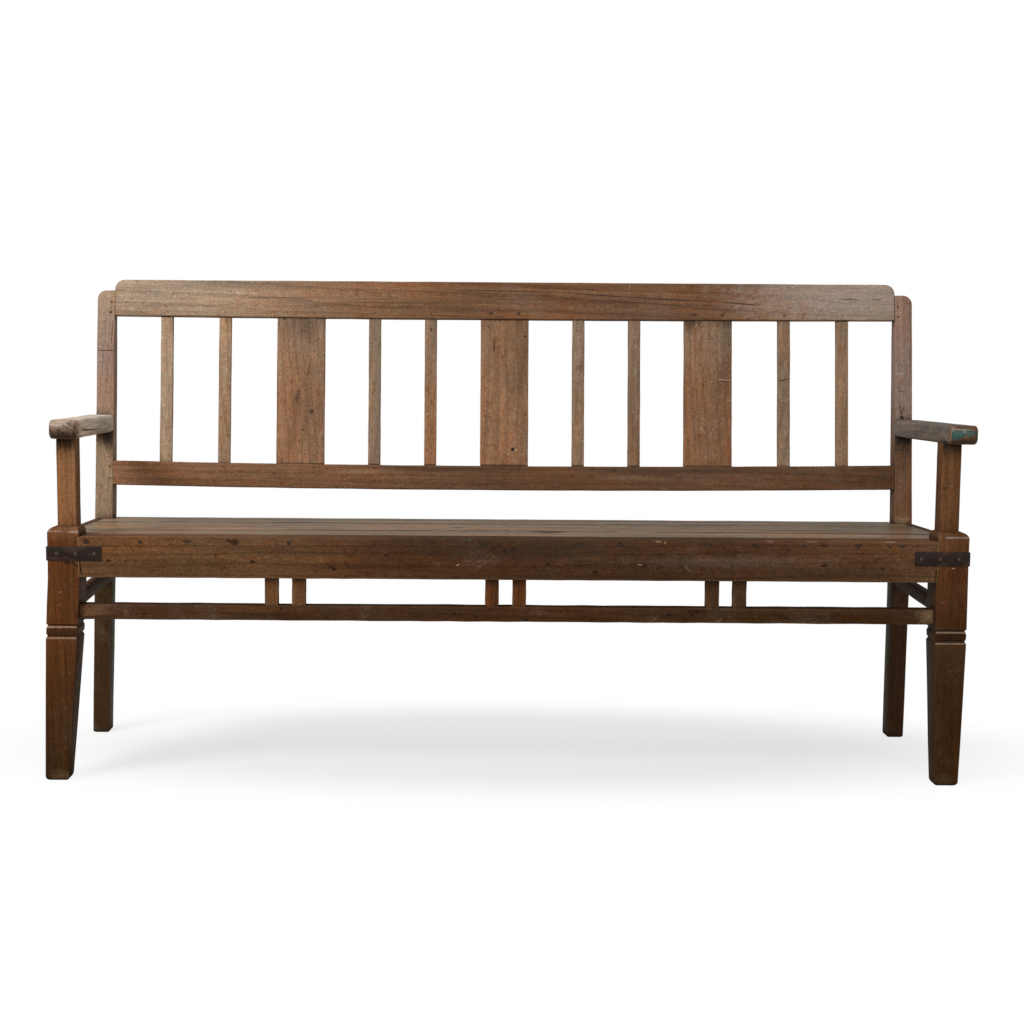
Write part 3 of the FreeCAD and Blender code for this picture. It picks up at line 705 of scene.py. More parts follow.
    @staticmethod
    def _rings(graph: Graph, spot: Spot, grain: Grain, shift: Triple, bands: Number) -> Number:
        """Return the long arched lines of a board's growth rings.

        Args:
            graph: The material.
            spot: The place on the surface.
            grain: The direction of the grain.
            shift: The piece's own place in the tree.
            bands: The streaks, which bend the lines.

        Returns:
            A mask of the dark lines.
        """
        place = spot.scaled(grain.stretch(0.7, 19.0), shift)
        settings = {"wave_type": "RINGS", "rings_direction": "SPHERICAL", "wave_profile": "SAW"}
        shape = {"Scale": 1.6, "Distortion": 6.0, "Detail": 3.0, "Detail Scale": 0.8}
        node = graph.add("ShaderNodeTexWave", settings, {"Vector": place, **shape})
        wave = Number(graph, node.outputs["Fac"])
        return wave.between(0.60, 1.0) * (0.35 + bands)

    @staticmethod
    def _scratches(spot: Spot, shift: Triple, smudge: Number) -> Number:
        """Return thin pale scratches that run across the grain here and there."""
        whole: Number | None = None
        for angle in (24.0, 71.0):
            place = spot.turned((angle, angle, angle * 0.5), (5.0, 190.0, 60.0))
            line = place.noise(1.0, 0.4) - 0.5
            thin = (line * line).between(0.00006, 0.0)
            whole = thin if whole is None else whole | thin
        return whole * smudge.between(0.53, 0.66)

    @staticmethod
    def _marked(
        graph: Graph,
        spot: Spot,
        marks: Marks,
        tone: Tone,
        relief: Number,
        fray: Number,
        texture: Number,
    ) -> tuple[Tone, Number]:
        """Lay the marks over the wood.

        Args:
            graph: The material.
            spot: The place on the surface.
            marks: The marks.
            tone: The wood's colour.
            relief: The wood's height.
            fray: A noise round 0 that roughens the marks' edges.
            texture: The wood's fine light and dark, which shows through the marks.

        Returns:
            The colour and the height with the marks.
        """
        if not marks:
            return tone, relief
        facing = graph.facing()
        seen = {
            plane: (facing[plane.value] * facing[plane.value]).between(0.2, 0.45)
            for plane in Plane if any(mark.plane is plane for mark in marks)
        }
        ragged = (spot.scaled((170.0, 170.0, 170.0)).noise(2.0, 0.6) - 0.5) * 0.9 + fray
        for kind in Kind:
            whole: Number | None = None
            for mark in marks:
                if mark.kind is kind:
                    mask = mark.mask(spot, ragged, seen[mark.plane])
                    whole = mask if whole is None else whole | mask
            if whole is None:
                continue
            paint = graph.colour(MARK_COLOURS[kind]).shade(texture)
            tone = tone.mix(paint, whole)
            if MARK_DEPTHS[kind]:
                relief = relief + whole * MARK_DEPTHS[kind]
        return tone, relief


@dataclass(frozen=True)
class Iron:
    """Old iron, black or rusted."""

    name: str
    body: Colour = (0.0145, 0.0080, 0.0060)
    rust: Colour = (0.055, 0.025, 0.015)
    bright: Colour = (0.12, 0.10, 0.09)
    rusted: float = 0.75
    gloss: float = 0.5

    def dress(self, piece: str, seed: int) -> bpy.types.Material:
        """Make the material of one piece.

        Args:
            piece: The piece's name.
            seed: A number that gives the piece its own rust.

        Returns:
            The material.
        """
        graph = Graph(bpy.data.materials.new(f"{self.name}_{piece}"))
        shift = (seed * 3.7, seed * 1.9, seed * 5.3)
        spot = graph.spot()
        pits = spot.scaled((260.0, 260.0, 260.0), shift).noise(4.0, 0.65)
        patches = spot.scaled((38.0, 38.0, 60.0), shift).noise(4.0, 0.6, 0.4)
        tone = graph.colour(self.body)
        tone = tone.mix(self.rust, patches.between(0.48, 0.70) * self.rusted)
        tone = tone.shade(0.1 + pits * 1.8)
        edges = graph.edges(0.0012) * patches.between(0.35, 0.6)
        tone = tone.mix(self.bright, edges * 0.5)
        gloss = self.gloss + (pits - 0.5) * 0.4 + patches.between(0.48, 0.7) * 0.2
        shade = {"Base Color": tone, "Roughness": gloss, "Specular IOR Level": 0.15}
        return graph.surface(shade, pits * 0.0009 + patches * 0.001, 0.6)


# Woods and irons of the bench

LEG_WOOD = Wood(
    "leg_wood", hazed=0.03, streaked=0.4, gloss=0.40, sheen=0.05, edge_wear=0.22, scratched=0.15,
    flecked=0.25,
)
POST_WOOD = Wood("post_wood", hazed=0.15, streaked=0.35, fibrous=0.35, gloss=0.40, edge_wear=0.3)
CREST_WOOD = Wood("crest_wood", hazed=0.15, figured=0.6, edge_wear=0.5)
RAIL_WOOD = Wood("rail_wood", hazed=0.10, stained=0.8, edge_wear=0.4)
SPLAT_WOOD = Wood(
    "splat_wood", hazed=0.12, fibrous=0.6, stained=0.8, flecked=0.55, figured=0.5, edge_wear=0.3
)
SLAT_WOOD = Wood("slat_wood", hazed=0.12, streaked=0.4, fibrous=0.5, edge_wear=0.3)
ARM_WOOD = Wood("arm_wood", hazed=0.3, streaked=0.9, gloss=0.38, sheen=0.3, edge_wear=0.6)
APRON_WOOD = Wood(
    "apron_wood", hazed=0.05, sheen=0.06, streaked=0.35, stained=1.0, flecked=0.5, figured=0.6,
    edge_wear=0.85,
)
# The seat's dark arris colour, laid wide along the board edges, is partly dirt in the seams and
# partly painted shade where the rounded edges miss the sheen.
SEAT_WOOD = Wood(
    "seat_wood", worn=(0.018, 0.010, 0.006), hazed=0.2, streaked=1.0, stained=0.8, scratched=0.1,
    edge_wear=0.95, edge_reach=0.009, gloss=0.32, sheen=0.22, relief=0.7,
)
STRETCHER_WOOD = Wood("stretcher_wood", hazed=0.08, sheen=0.05, stained=1.0, flecked=0.6)
HIDDEN_WOOD = Wood("hidden_wood", hazed=0.2, gloss=0.7, sheen=0.05, edge_wear=0.2)
PEG_WOOD = Wood("peg_wood", hazed=0.1, gloss=0.6, edge_wear=0.1)
STRAP_IRON = Iron("strap_iron")
NAIL_IRON = Iron("nail_iron", (0.030, 0.022, 0.018), rusted=0.6, gloss=0.55)
RUBBED_IRON = Iron("rubbed_iron", (0.055, 0.044, 0.039), rusted=0.4, gloss=0.45)


@dataclass(frozen=True)
class Look:
    """How one piece looks: its wood, its grain, its browns and its marks."""

    wood: Wood
    grain: Grain
    tones: Tones
    marks: Marks = ()


def drawn(
    kind: Kind, *places: Sequence[float], plane: Plane = Plane.FRONT, soft: bool = False
) -> list[Mark]:
    """Return several marks of one kind.

    Args:
        kind: What they are.
        places: For each one its middle, width and height and, where it has them, its turn and
            strength.
        plane: The side that they lie on.
        soft: Whether they fade out slowly.

    Returns:
        The marks.
    """
    return [Mark(kind, *place, plane=plane, soft=soft) for place in places]


def stains(*spots: Pair, width: float = 10.0, height: float = 7.0) -> list[Mark]:
    """Return stains at several places, each a little different in size."""
    made = []
    for number, (across, up) in enumerate(spots):
        factor = 0.8 + 0.15 * (number % 4)
        turn = 15.0 * (number % 3)
        made.append(Mark(Kind.STAIN_AND_SHADE, across, up, width * factor, height * factor, turn, 0.9))
    return made


def collar_shade_and_highlights(middle: float) -> list[Mark]:
    """Return painted shade in a collar's grooves and band and painted highlights on its lips."""
    return [
        *drawn(
            Kind.STAIN_AND_SHADE, (middle, 296.8, 300, 3.0, 0, 0.8), (middle, 284.5, 300, 12.0, 0, 0.55),
            (middle, 276.6, 300, 3.6, 0, 0.8),
        ),
        *drawn(Kind.SCRATCH_AND_HIGHLIGHT, (middle, 292.6, 300, 3.0, 0, 0.5), (middle, 271.8, 300, 2.6, 0, 0.45)),
    ]


def rail_shade_lines(middle: float, top: float, width: float = 400.0) -> list[Mark]:
    """Return the painted shade lines where an upright of the back meets the two rails."""
    return [
        *drawn(Kind.STAIN_AND_SHADE, (middle, top, width, 7.0, 0, 0.9), (middle, 569.0, width, 4.0, 0, 0.7)),
    ]


APRON_NAILS = (
    -778.0, -678.0, -592.0, -504.0, -404.0, -142.0, -47.0, 44.0, 130.0,
    206.0, 281.0, 368.0, 454.0, 545.0, 582.0, 646.0, 703.0, 725.0,
)

APRON_MARKS = [
    Row(Kind.STAIN_AND_SHADE, APRON_NAILS[::3], 453.0, 12.0, 10.0, 0.8),
    Row(Kind.STAIN_AND_SHADE, APRON_NAILS[1::3], 452.0, 8.0, 7.0, 0.8),
    Row(Kind.STAIN_AND_SHADE, APRON_NAILS[2::3], 454.0, 16.0, 6.0, 0.6),
    *stains((-737, 418), (-472, 418), (-6, 440), (10, 443), (73, 417), (413, 416), (583, 417)),
    *stains((-225, 430), (-515, 456), (-322, 405), (160, 402), (690, 412), width=11.0, height=5.0),
    *drawn(Kind.CHIP, (276, 459, 13, 4, 8, 0.4), (289, 457, 5, 5, 0, 0.35)),
    *drawn(
        Kind.SCRATCH_AND_HIGHLIGHT, (-94, 413, 9, 2.4, -30, 0.8), (243, 416, 12, 1.8, 5, 0.8),
        (330, 410, 12, 2, 50, 0.4), (336, 406, 9, 2, -30, 0.3), (482, 461, 14, 2.4, 0, 0.6),
        (560, 461, 22, 2, 0, 0.5), (703, 461, 26, 2.4, 0, 0.6),
    ),
    Mark(Kind.PAINT, -72, 461, 5, 4),
    *drawn(
        Kind.DARK, (-470, 440, 260, 12, 2, 0.5), (60, 436, 420, 26, 0, 0.5),
        (640, 405, 330, 22, 0, 0.5), soft=True,
    ),
    Mark(Kind.GREY, 400, 422, 340, 22, 0, 0.12, soft=True),
    *drawn(Kind.HOLE, (-789, 404, 2.4, 30, -8), (790, 401, 2.0, 28)),
]

CREST_MARKS = [
    *drawn(
        Kind.DARK, (5, 930.5, 222, 2.6, 0.8, 0.9), (183, 924.5, 142, 2.6, 3.8, 0.9),
        (350, 915.5, 206, 2.8, 2.6, 0.9), (490, 908, 92, 2.6, 4.1, 0.9),
        (330, 905, 150, 2.0, 4.0, 0.6), (420, 897, 180, 2.0, 3.0, 0.5),
        (120, 936, 160, 2.0, 1.5, 0.6), (-420, 915, 260, 2.2, -0.6, 0.5),
        (-250, 905, 300, 2.0, 0.4, 0.5), (720, 918, 40, 2.6, 1, 0.7), (775, 918, 22, 2.6, 1, 0.7),
    ),
    *drawn(
        Kind.GREY, (-720, 925, 420, 110, 0, 0.2), (740, 925, 460, 130, 0, 0.85),
        (560, 940, 150, 40, -30, 0.5), soft=True,
    ),
    *drawn(Kind.SCRATCH_AND_HIGHLIGHT, (575, 925, 70, 1.6, -40, 0.35), (260, 943, 3, 12, 10, 0.4)),
    Row(Kind.STAIN_AND_SHADE, (-29.0, 29.0, 396.0, 454.0, 584.0), 884.0, 9.0, 7.0, 0.7),
]

LOWER_MARKS = [
    *drawn(Kind.CHIP, (-300, 555, 130, 10, -2, 0.30), (270, 545, 160, 9, 1, 0.22), soft=True),
    *drawn(Kind.DARK, (-120, 562, 320, 12, 0, 0.5), (380, 560, 420, 16, 0, 0.5), soft=True),
    Row(Kind.STAIN_AND_SHADE, (-584.0, -396.0, 29.0, 184.0, 396.0, 705.0), 563.0, 8.0, 6.0, 0.45),
]

SEAT_MARKS = [
    *drawn(
        Kind.STAIN_AND_SHADE, (-640, 132.0, 420, 15, 4.6, 0.9), (-300, 152.5, 420, 15, 2.2, 0.9),
        (60, 160.5, 420, 15, 0.2, 0.9), (420, 155.5, 420, 15, -1.6, 0.9),
        (710, 143.0, 320, 15, -3.4, 0.9), (0, 318.0, 1900, 16, 0, 0.9),
        (0, 384.0, 1900, 14, 0, 0.7), plane=Plane.TOP,
    ),
    *drawn(
        Kind.DARK, (-95, 226, 34, 20, 0, 0.8), (150, 240, 420, 16, 1, 0.6),
        (560, 210, 330, 24, -1, 0.6), (-480, 250, 300, 14, 1, 0.5), plane=Plane.TOP,
    ),
    Mark(Kind.DARK, 690, 350, 260, 30, 0, 0.5, plane=Plane.TOP, soft=True),
]

LOOKS: dict[str, Look] = {
    "leg_left": Look(
        LEG_WOOD, Grain.HEIGHT,
        (
            # Darker towards the floor, below the seat.
            (0, Hue.DEEP), (120, Hue.DEEP), (300, Hue.RED), (440, Hue.RED), (500, Hue.ORANGE),
            (640, Hue.ORANGE),
        ),
        (
            Mark(Kind.CHIP, -834, 6, 40, 30, 0, 0.16, soft=True),
            *drawn(Kind.SCRATCH_AND_HIGHLIGHT, (-826, 358, 2.6, 2.6, 0, 0.7), (-812, 205, 2, 7, 10, 0.3)),
            Mark(Kind.HOLE, -798, 409, 15, 2.4, 42),
            Mark(Kind.STAIN_AND_SHADE, -812, 413, 14, 6, 0, 0.8),
            # Painted shade under the arm, at the top of the arm post.
            Mark(Kind.STAIN_AND_SHADE, -822, 644, 70, 60, 0, 0.95, soft=True),
            Mark(Kind.DARK, -798, 455, 2.2, 24, 0, 0.8),
            # Painted shade in the collar's grooves and painted highlights on its lips.
            *collar_shade_and_highlights(-830),
            # Painted highlights along the rounded top edge of the shoulder.
            *drawn(Kind.GREY, (-800, 470, 24, 4, 0, 0.5), (-836, 471, 28, 3, 0, 0.3)),
            # Painted shade on the leg's side faces.
            Mark(Kind.STAIN_AND_SHADE, 30, 250, 300, 800, 0, 0.5, plane=Plane.SIDE, soft=True),
        ),
    ),
    "leg_right": Look(
        LEG_WOOD, Grain.HEIGHT,
        # Darker towards the floor, below the seat.
        ((0, Hue.DEEP), (250, Hue.DEEP), (440, Hue.RED), (500, Hue.OCHRE), (640, Hue.OCHRE)),
        (
            Mark(Kind.CHIP, 820, 10, 40, 30, 0, 0.10, soft=True),
            *drawn(Kind.SCRATCH_AND_HIGHLIGHT, (822, 413, 6, 2, 0, 0.8), (806, 350, 2, 6, 20, 0.4)),
            Mark(Kind.DARK, 812, 563, 3, 30, 0, 0.4),
            *drawn(Kind.STAIN_AND_SHADE, (804, 560, 8, 6, 0, 0.45), (818, 500, 4, 8, 0, 0.3)),
            # Painted shade under the arm, at the top of the arm post.
            Mark(Kind.STAIN_AND_SHADE, 816, 646, 70, 60, 0, 0.95, soft=True),
            # Painted shade in the collar's grooves and painted highlights on its lips.
            *collar_shade_and_highlights(826),
            # Painted highlight along the rounded top edge of the shoulder.
            Mark(Kind.GREY, 826, 470, 54, 4, 0, 0.5),
            # Painted shade on the leg's side faces.
            Mark(Kind.STAIN_AND_SHADE, 30, 250, 300, 800, 0, 0.5, plane=Plane.SIDE, soft=True),
        ),
    ),
    "post_left": Look(
        POST_WOOD, Grain.HEIGHT,
        (
            # Darker towards the floor, below the seat.
            (0, Hue.OLIVE), (390, Hue.OLIVE), (430, Hue.STRAW), (600, Hue.STRAW), (790, Hue.MAUVE),
            (930, Hue.BONE),
        ),
        (
            *drawn(Kind.DARK, (-832, 802, 40, 2.4, 0, 0.9), (-819, 840, 3, 60, 4, 0.6)),
            Mark(Kind.CHIP, -825, 554, 7, 22, 20, 0.3),
            Mark(Kind.STAIN_AND_SHADE, -822, 882, 7, 6),
            # Painted shade under the arm.
            Mark(Kind.STAIN_AND_SHADE, -826, 628, 60, 50, 0, 0.9, soft=True),
            # Painted shade on the post's side faces below the seat.
            Mark(Kind.STAIN_AND_SHADE, 410, 200, 120, 560, 0, 0.6, plane=Plane.SIDE, soft=True),
        ),
    ),
    "post_right": Look(
        POST_WOOD, Grain.HEIGHT,
        (
            # Darker towards the floor, below the seat.
            (0, Hue.UMBER), (390, Hue.UMBER), (430, Hue.BROWN), (600, Hue.BROWN), (700, Hue.MAUVE),
            (930, Hue.MAUVE),
        ),
        (
            *drawn(Kind.SCRATCH_AND_HIGHLIGHT, (823, 765, 28, 3, -4, 0.9), (826, 812, 20, 2, 10, 0.5)),
            *drawn(
                Kind.DARK, (828, 728, 20, 2, 6, 0.7), (826, 688, 2.4, 26, -14),
                (831, 690, 2.4, 22, 18), (832, 607, 36, 2.2, 0, 0.9), (834, 578, 3, 60, 12, 0.5),
            ),
            Mark(Kind.HOLE, 829, 674, 7, 6),
            Mark(Kind.CHIP, 832, 463, 40, 16, 0, 0.5, soft=True),
            # Painted shade under the arm.
            Mark(Kind.STAIN_AND_SHADE, 828, 628, 60, 50, 0, 0.9, soft=True),
            # Painted shade on the post's side faces below the seat.
            Mark(Kind.STAIN_AND_SHADE, 410, 200, 120, 560, 0, 0.6, plane=Plane.SIDE, soft=True),
        ),
    ),
    "crest_rail": Look(
        CREST_WOOD, Grain.LENGTH,
        (
            (-820, Hue.BONE), (-620, Hue.BONE), (-300, Hue.CHESTNUT), (-80, Hue.BROWN),
            (420, Hue.BROWN), (820, Hue.BONE),
        ),
        CREST_MARKS,
    ),
    "lower_rail": Look(
        RAIL_WOOD, Grain.LENGTH,
        ((-820, Hue.CHESTNUT), (-350, Hue.BROWN), (0, Hue.OCHRE), (820, Hue.OCHRE)), LOWER_MARKS,
    ),
    "splat_left": Look(
        SPLAT_WOOD, Grain.HEIGHT, ((570, Hue.NUT), (720, Hue.NUT), (890, Hue.TAUPE)),
        (
            # Painted shade under the crest rail and above the lower rail.
            *rail_shade_lines(-425, 874.5),
            *drawn(
                Kind.STAIN_AND_SHADE, (-432, 710, 8, 30, 6, 0.55), (-402, 678, 8, 9, 0, 0.7),
                (-419, 640, 7, 6, 0, 0.5),
            ),
            Mark(Kind.HOLE, -462, 870, 5, 4),
            *drawn(
                Kind.DARK, (-430, 860, 90, 60, 0, 0.35), (-435, 690, 26, 120, 8, 0.3), soft=True,
            ),
        ),
    ),
    "splat_centre": Look(
        SPLAT_WOOD, Grain.HEIGHT, ((570, Hue.NUT), (890, Hue.NUT)),
        (
            # Painted shade under the crest rail and above the lower rail.
            *rail_shade_lines(0, 873.5),
            Mark(Kind.HOLE, 18, 602, 7, 6),
            Mark(Kind.CHIP, 25, 602, 6, 5),
            *drawn(Kind.STAIN_AND_SHADE, (42, 837, 5, 6), (-22, 815, 7, 24, 3, 0.6)),
            Mark(Kind.SCRATCH_AND_HIGHLIGHT, 0, 716, 60, 1.6, 4, 0.35),
            Mark(Kind.DARK, 38, 780, 16, 150, 3, 0.35, soft=True),
        ),
    ),
    "splat_right": Look(
        SPLAT_WOOD, Grain.HEIGHT, ((570, Hue.CHESTNUT), (720, Hue.CHESTNUT), (890, Hue.TAUPE)),
        (
            # Painted shade under the crest rail and above the lower rail.
            *rail_shade_lines(425, 874.5),
            *drawn(
                Kind.SCRATCH_AND_HIGHLIGHT, (460, 749, 26, 3.0, 6, 0.8), (470, 707, 16, 2.4, 2, 0.7),
                (417, 640, 3, 34, -28, 0.4), (433, 640, 3, 34, 28, 0.4),
                (412, 748, 20, 2, -8, 0.35),
            ),
            Mark(Kind.DARK, 460, 745.5, 26, 2.4, 6, 0.8),
            *drawn(Kind.DARK, (388, 875, 50, 50, 0, 0.8), (462, 880, 46, 40, 0, 0.8), soft=True),
        ),
    ),
    "arm_left": Look(
        ARM_WOOD, Grain.DEPTH, ((-20, Hue.BROWN), (-4, Hue.BROWN), (30, Hue.ASH), (400, Hue.ASH)),
        (
            Mark(Kind.HOLE, 120, 652, 240, 3.0, -2.0, 0.9, plane=Plane.SIDE),
            *drawn(
                Kind.DARK, (60, 657, 120, 2.4, -4.0, 0.8), (250, 660, 160, 2.2, -1.0, 0.6),
                plane=Plane.SIDE,
            ),
            *drawn(Kind.DARK, (-800, 668, 26, 2.2, 34), (-806, 662, 22, 2.0, 40, 0.8)),
            Mark(Kind.STAIN_AND_SHADE, 90, 669, 8, 7, 0, 0.9, plane=Plane.SIDE),
            # Painted shade on the lower half of the nose and at its outer end.
            *drawn(Kind.STAIN_AND_SHADE, (-815, 645, 84, 32, 0), (-864, 660, 10, 44, 0, 0.7), soft=True),
            # Painted highlight on the upper curve of the nose.
            Mark(Kind.GREY, -832, 668, 34, 8, 6, 0.6, soft=True),
        ),
    ),
    "arm_right": Look(
        ARM_WOOD, Grain.DEPTH,
        ((-20, Hue.OCHRE), (-4, Hue.OCHRE), (30, Hue.SLATE), (400, Hue.SLATE)),
        (
            *drawn(Kind.PAINT, (808, 660, 56, 18, -3, 0.95), (834, 664, 44, 14, 8, 0.85)),
            # Painted highlights on the upper curve of the nose.
            *drawn(Kind.GREY, (816, 670, 56, 3, 2, 0.6), (828, 666, 8, 4, 0, 0.7)),
            *drawn(
                Kind.CHIP, (812, 664, 9, 3, 10, 0.7), (838, 663, 12, 3, -10, 0.7),
                (800, 656, 8, 3, 0, 0.6),
            ),
            Mark(Kind.STAIN_AND_SHADE, 822, 658, 12, 4, 0, 0.8),
            # Painted shade on the lower half of the nose.
            Mark(Kind.STAIN_AND_SHADE, 828, 645, 80, 22, 0, 0.9, soft=True),
            Mark(Kind.HOLE, 16, 642, 16, 14, 45, 0.9, plane=Plane.SIDE),
            Mark(Kind.DARK, 200, 655, 300, 2.2, -1.0, 0.5, plane=Plane.SIDE),
        ),
    ),
    "apron": Look(
        APRON_WOOD, Grain.LENGTH,
        (
            (-800, Hue.OCHRE), (-450, Hue.OCHRE), (-200, Hue.UMBER), (400, Hue.UMBER),
            (800, Hue.OCHRE),
        ),
        APRON_MARKS,
    ),
    "side_rail_left": Look(APRON_WOOD, Grain.DEPTH, ((0, Hue.OCHRE),)),
    "side_rail_right": Look(APRON_WOOD, Grain.DEPTH, ((0, Hue.UMBER),)),
    "rear_rail": Look(HIDDEN_WOOD, Grain.LENGTH, ((0, Hue.RAW),)),
    "bearer": Look(HIDDEN_WOOD, Grain.DEPTH, ((0, Hue.RAW),)),
    **{
        f"board_{name}": Look(
            SEAT_WOOD, Grain.LENGTH, ((-850, first), (-300, Hue.TAUPE), (850, last)), SEAT_MARKS
        )
        for name, first, last in (
            ("front", Hue.STRAW, Hue.TAUPE),
            ("middle", Hue.STRAW, Hue.SEAT),
            ("back", Hue.BONE, Hue.TAUPE),
        )
    },
    "stretcher_front": Look(
        STRETCHER_WOOD, Grain.LENGTH,
        ((-800, Hue.OCHRE), (-730, Hue.UMBER), (690, Hue.DEEP), (760, Hue.UMBER), (800, Hue.OCHRE)),
        (
            Mark(Kind.CHIP, -772, 322, 58, 16, 2, 0.08),
            Mark(Kind.CHIP, 784, 320, 40, 30, 0, 0.3, soft=True),
            Mark(Kind.DARK, -760, 310, 70, 8, -4, 0.7),
            *stains(
                (-420, 328), (-60, 316), (35, 309), (300, 322), (520, 316), width=9.0, height=6.0
            ),
        ),
    ),
    "upright_left": Look(STRETCHER_WOOD, Grain.HEIGHT, ((0, Hue.OCHRE),)),
    "upright_centre": Look(STRETCHER_WOOD, Grain.HEIGHT, ((0, Hue.RED),)),
    "upright_right": Look(STRETCHER_WOOD, Grain.HEIGHT, ((0, Hue.UMBER),)),
    "stretcher_side": Look(
        STRETCHER_WOOD, Grain.DEPTH, ((0, Hue.OCHRE),),
        # Painted shade on the side stretchers' side faces, under the seat.
        (Mark(Kind.STAIN_AND_SHADE, 220, 330, 900, 200, 0, 0.7, Plane.SIDE, soft=True),),
    ),
    "back_pins": Look(PEG_WOOD, Grain.HEIGHT, ((0, Hue.OCHRE),)),
}

SLAT_TONES: tuple[Tones, ...] = (
    ((570, Hue.BONE), (890, Hue.BONE)), ((570, Hue.TAUPE), (890, Hue.BONE)),
    ((570, Hue.TAUPE), (890, Hue.TAUPE)), ((570, Hue.NUT), (890, Hue.TAUPE)),
    ((570, Hue.TAUPE), (890, Hue.TAUPE)), ((570, Hue.NUT), (890, Hue.TAUPE)),
    ((570, Hue.TAUPE), (890, Hue.TAUPE)), ((570, Hue.STRAW), (890, Hue.TAUPE)),
)

SLAT_MARKS: dict[int, Marks] = {
    4: (
        *drawn(Kind.STAIN_AND_SHADE, (-154, 850, 6, 8, 0, 0.7), (-152, 700, 5, 14, 0, 0.5)),
    ),
    7: (
        Mark(Kind.DARK, 584, 750, 24, 2.6, -14, 0.9),
        Mark(Kind.SCRATCH_AND_HIGHLIGHT, 580, 707, 14, 2.4, 0, 0.7),
    ),
}

LOOKS.update({
    f"slat_{number}": Look(
        # Painted shade under the crest rail and above the lower rail.
        SLAT_WOOD, Grain.HEIGHT, tones, (*rail_shade_lines(0, 874.8, 4000), *SLAT_MARKS.get(number, ()))
    )
    for number, tones in enumerate(SLAT_TONES, 1)
})


def dressed(piece: str, look: str | None = None) -> bpy.types.Material:
    """Make the material of a piece.

    Args:
        piece: The piece's name, which also gives it its own cut of the tree.
        look: The name of its look, if that is another one.

    Returns:
        The material.
    """
    wanted = LOOKS[look or piece]
    seed = sum(index * ord(letter) for index, letter in enumerate(piece, 1))
    return wanted.wood.dress(piece, wanted.grain, seed, wanted.tones, wanted.marks)


# Shaping

ARRIS_ANGLE = 38.0
SMOOTH_ANGLE = 42.0


def at(item: Union[bmesh.types.BMVert, bmesh.types.BMEdge, bmesh.types.BMFace]) -> Vector:
    """Return the middle of a vertex, edge or face, in millimetres."""
    if isinstance(item, bmesh.types.BMVert):
        return item.co / MM
    if isinstance(item, bmesh.types.BMEdge):
        return (item.verts[0].co + item.verts[1].co) / (2 * MM)
    return item.calc_center_median() / MM


def is_arris(edge: bmesh.types.BMEdge) -> bool:
    """Tell whether an edge is a sharp one."""
    return len(edge.link_faces) == 2 and edge.calc_face_angle(0.0) > math.radians(ARRIS_ANGLE)


def runs(axis: int) -> Callable[[bmesh.types.BMEdge], bool]:
    """Return a test for the arrises that run mostly along an axis.

    Args:
        axis: 0, 1 or 2 for X, Y or Z.

    Returns:
        The test.
    """

    def test(edge: bmesh.types.BMEdge) -> bool:
        """Tell whether the edge is such an arris."""
        line = edge.verts[1].co - edge.verts[0].co
        return is_arris(edge) and abs(line[axis]) > 0.7 * line.length

    return test


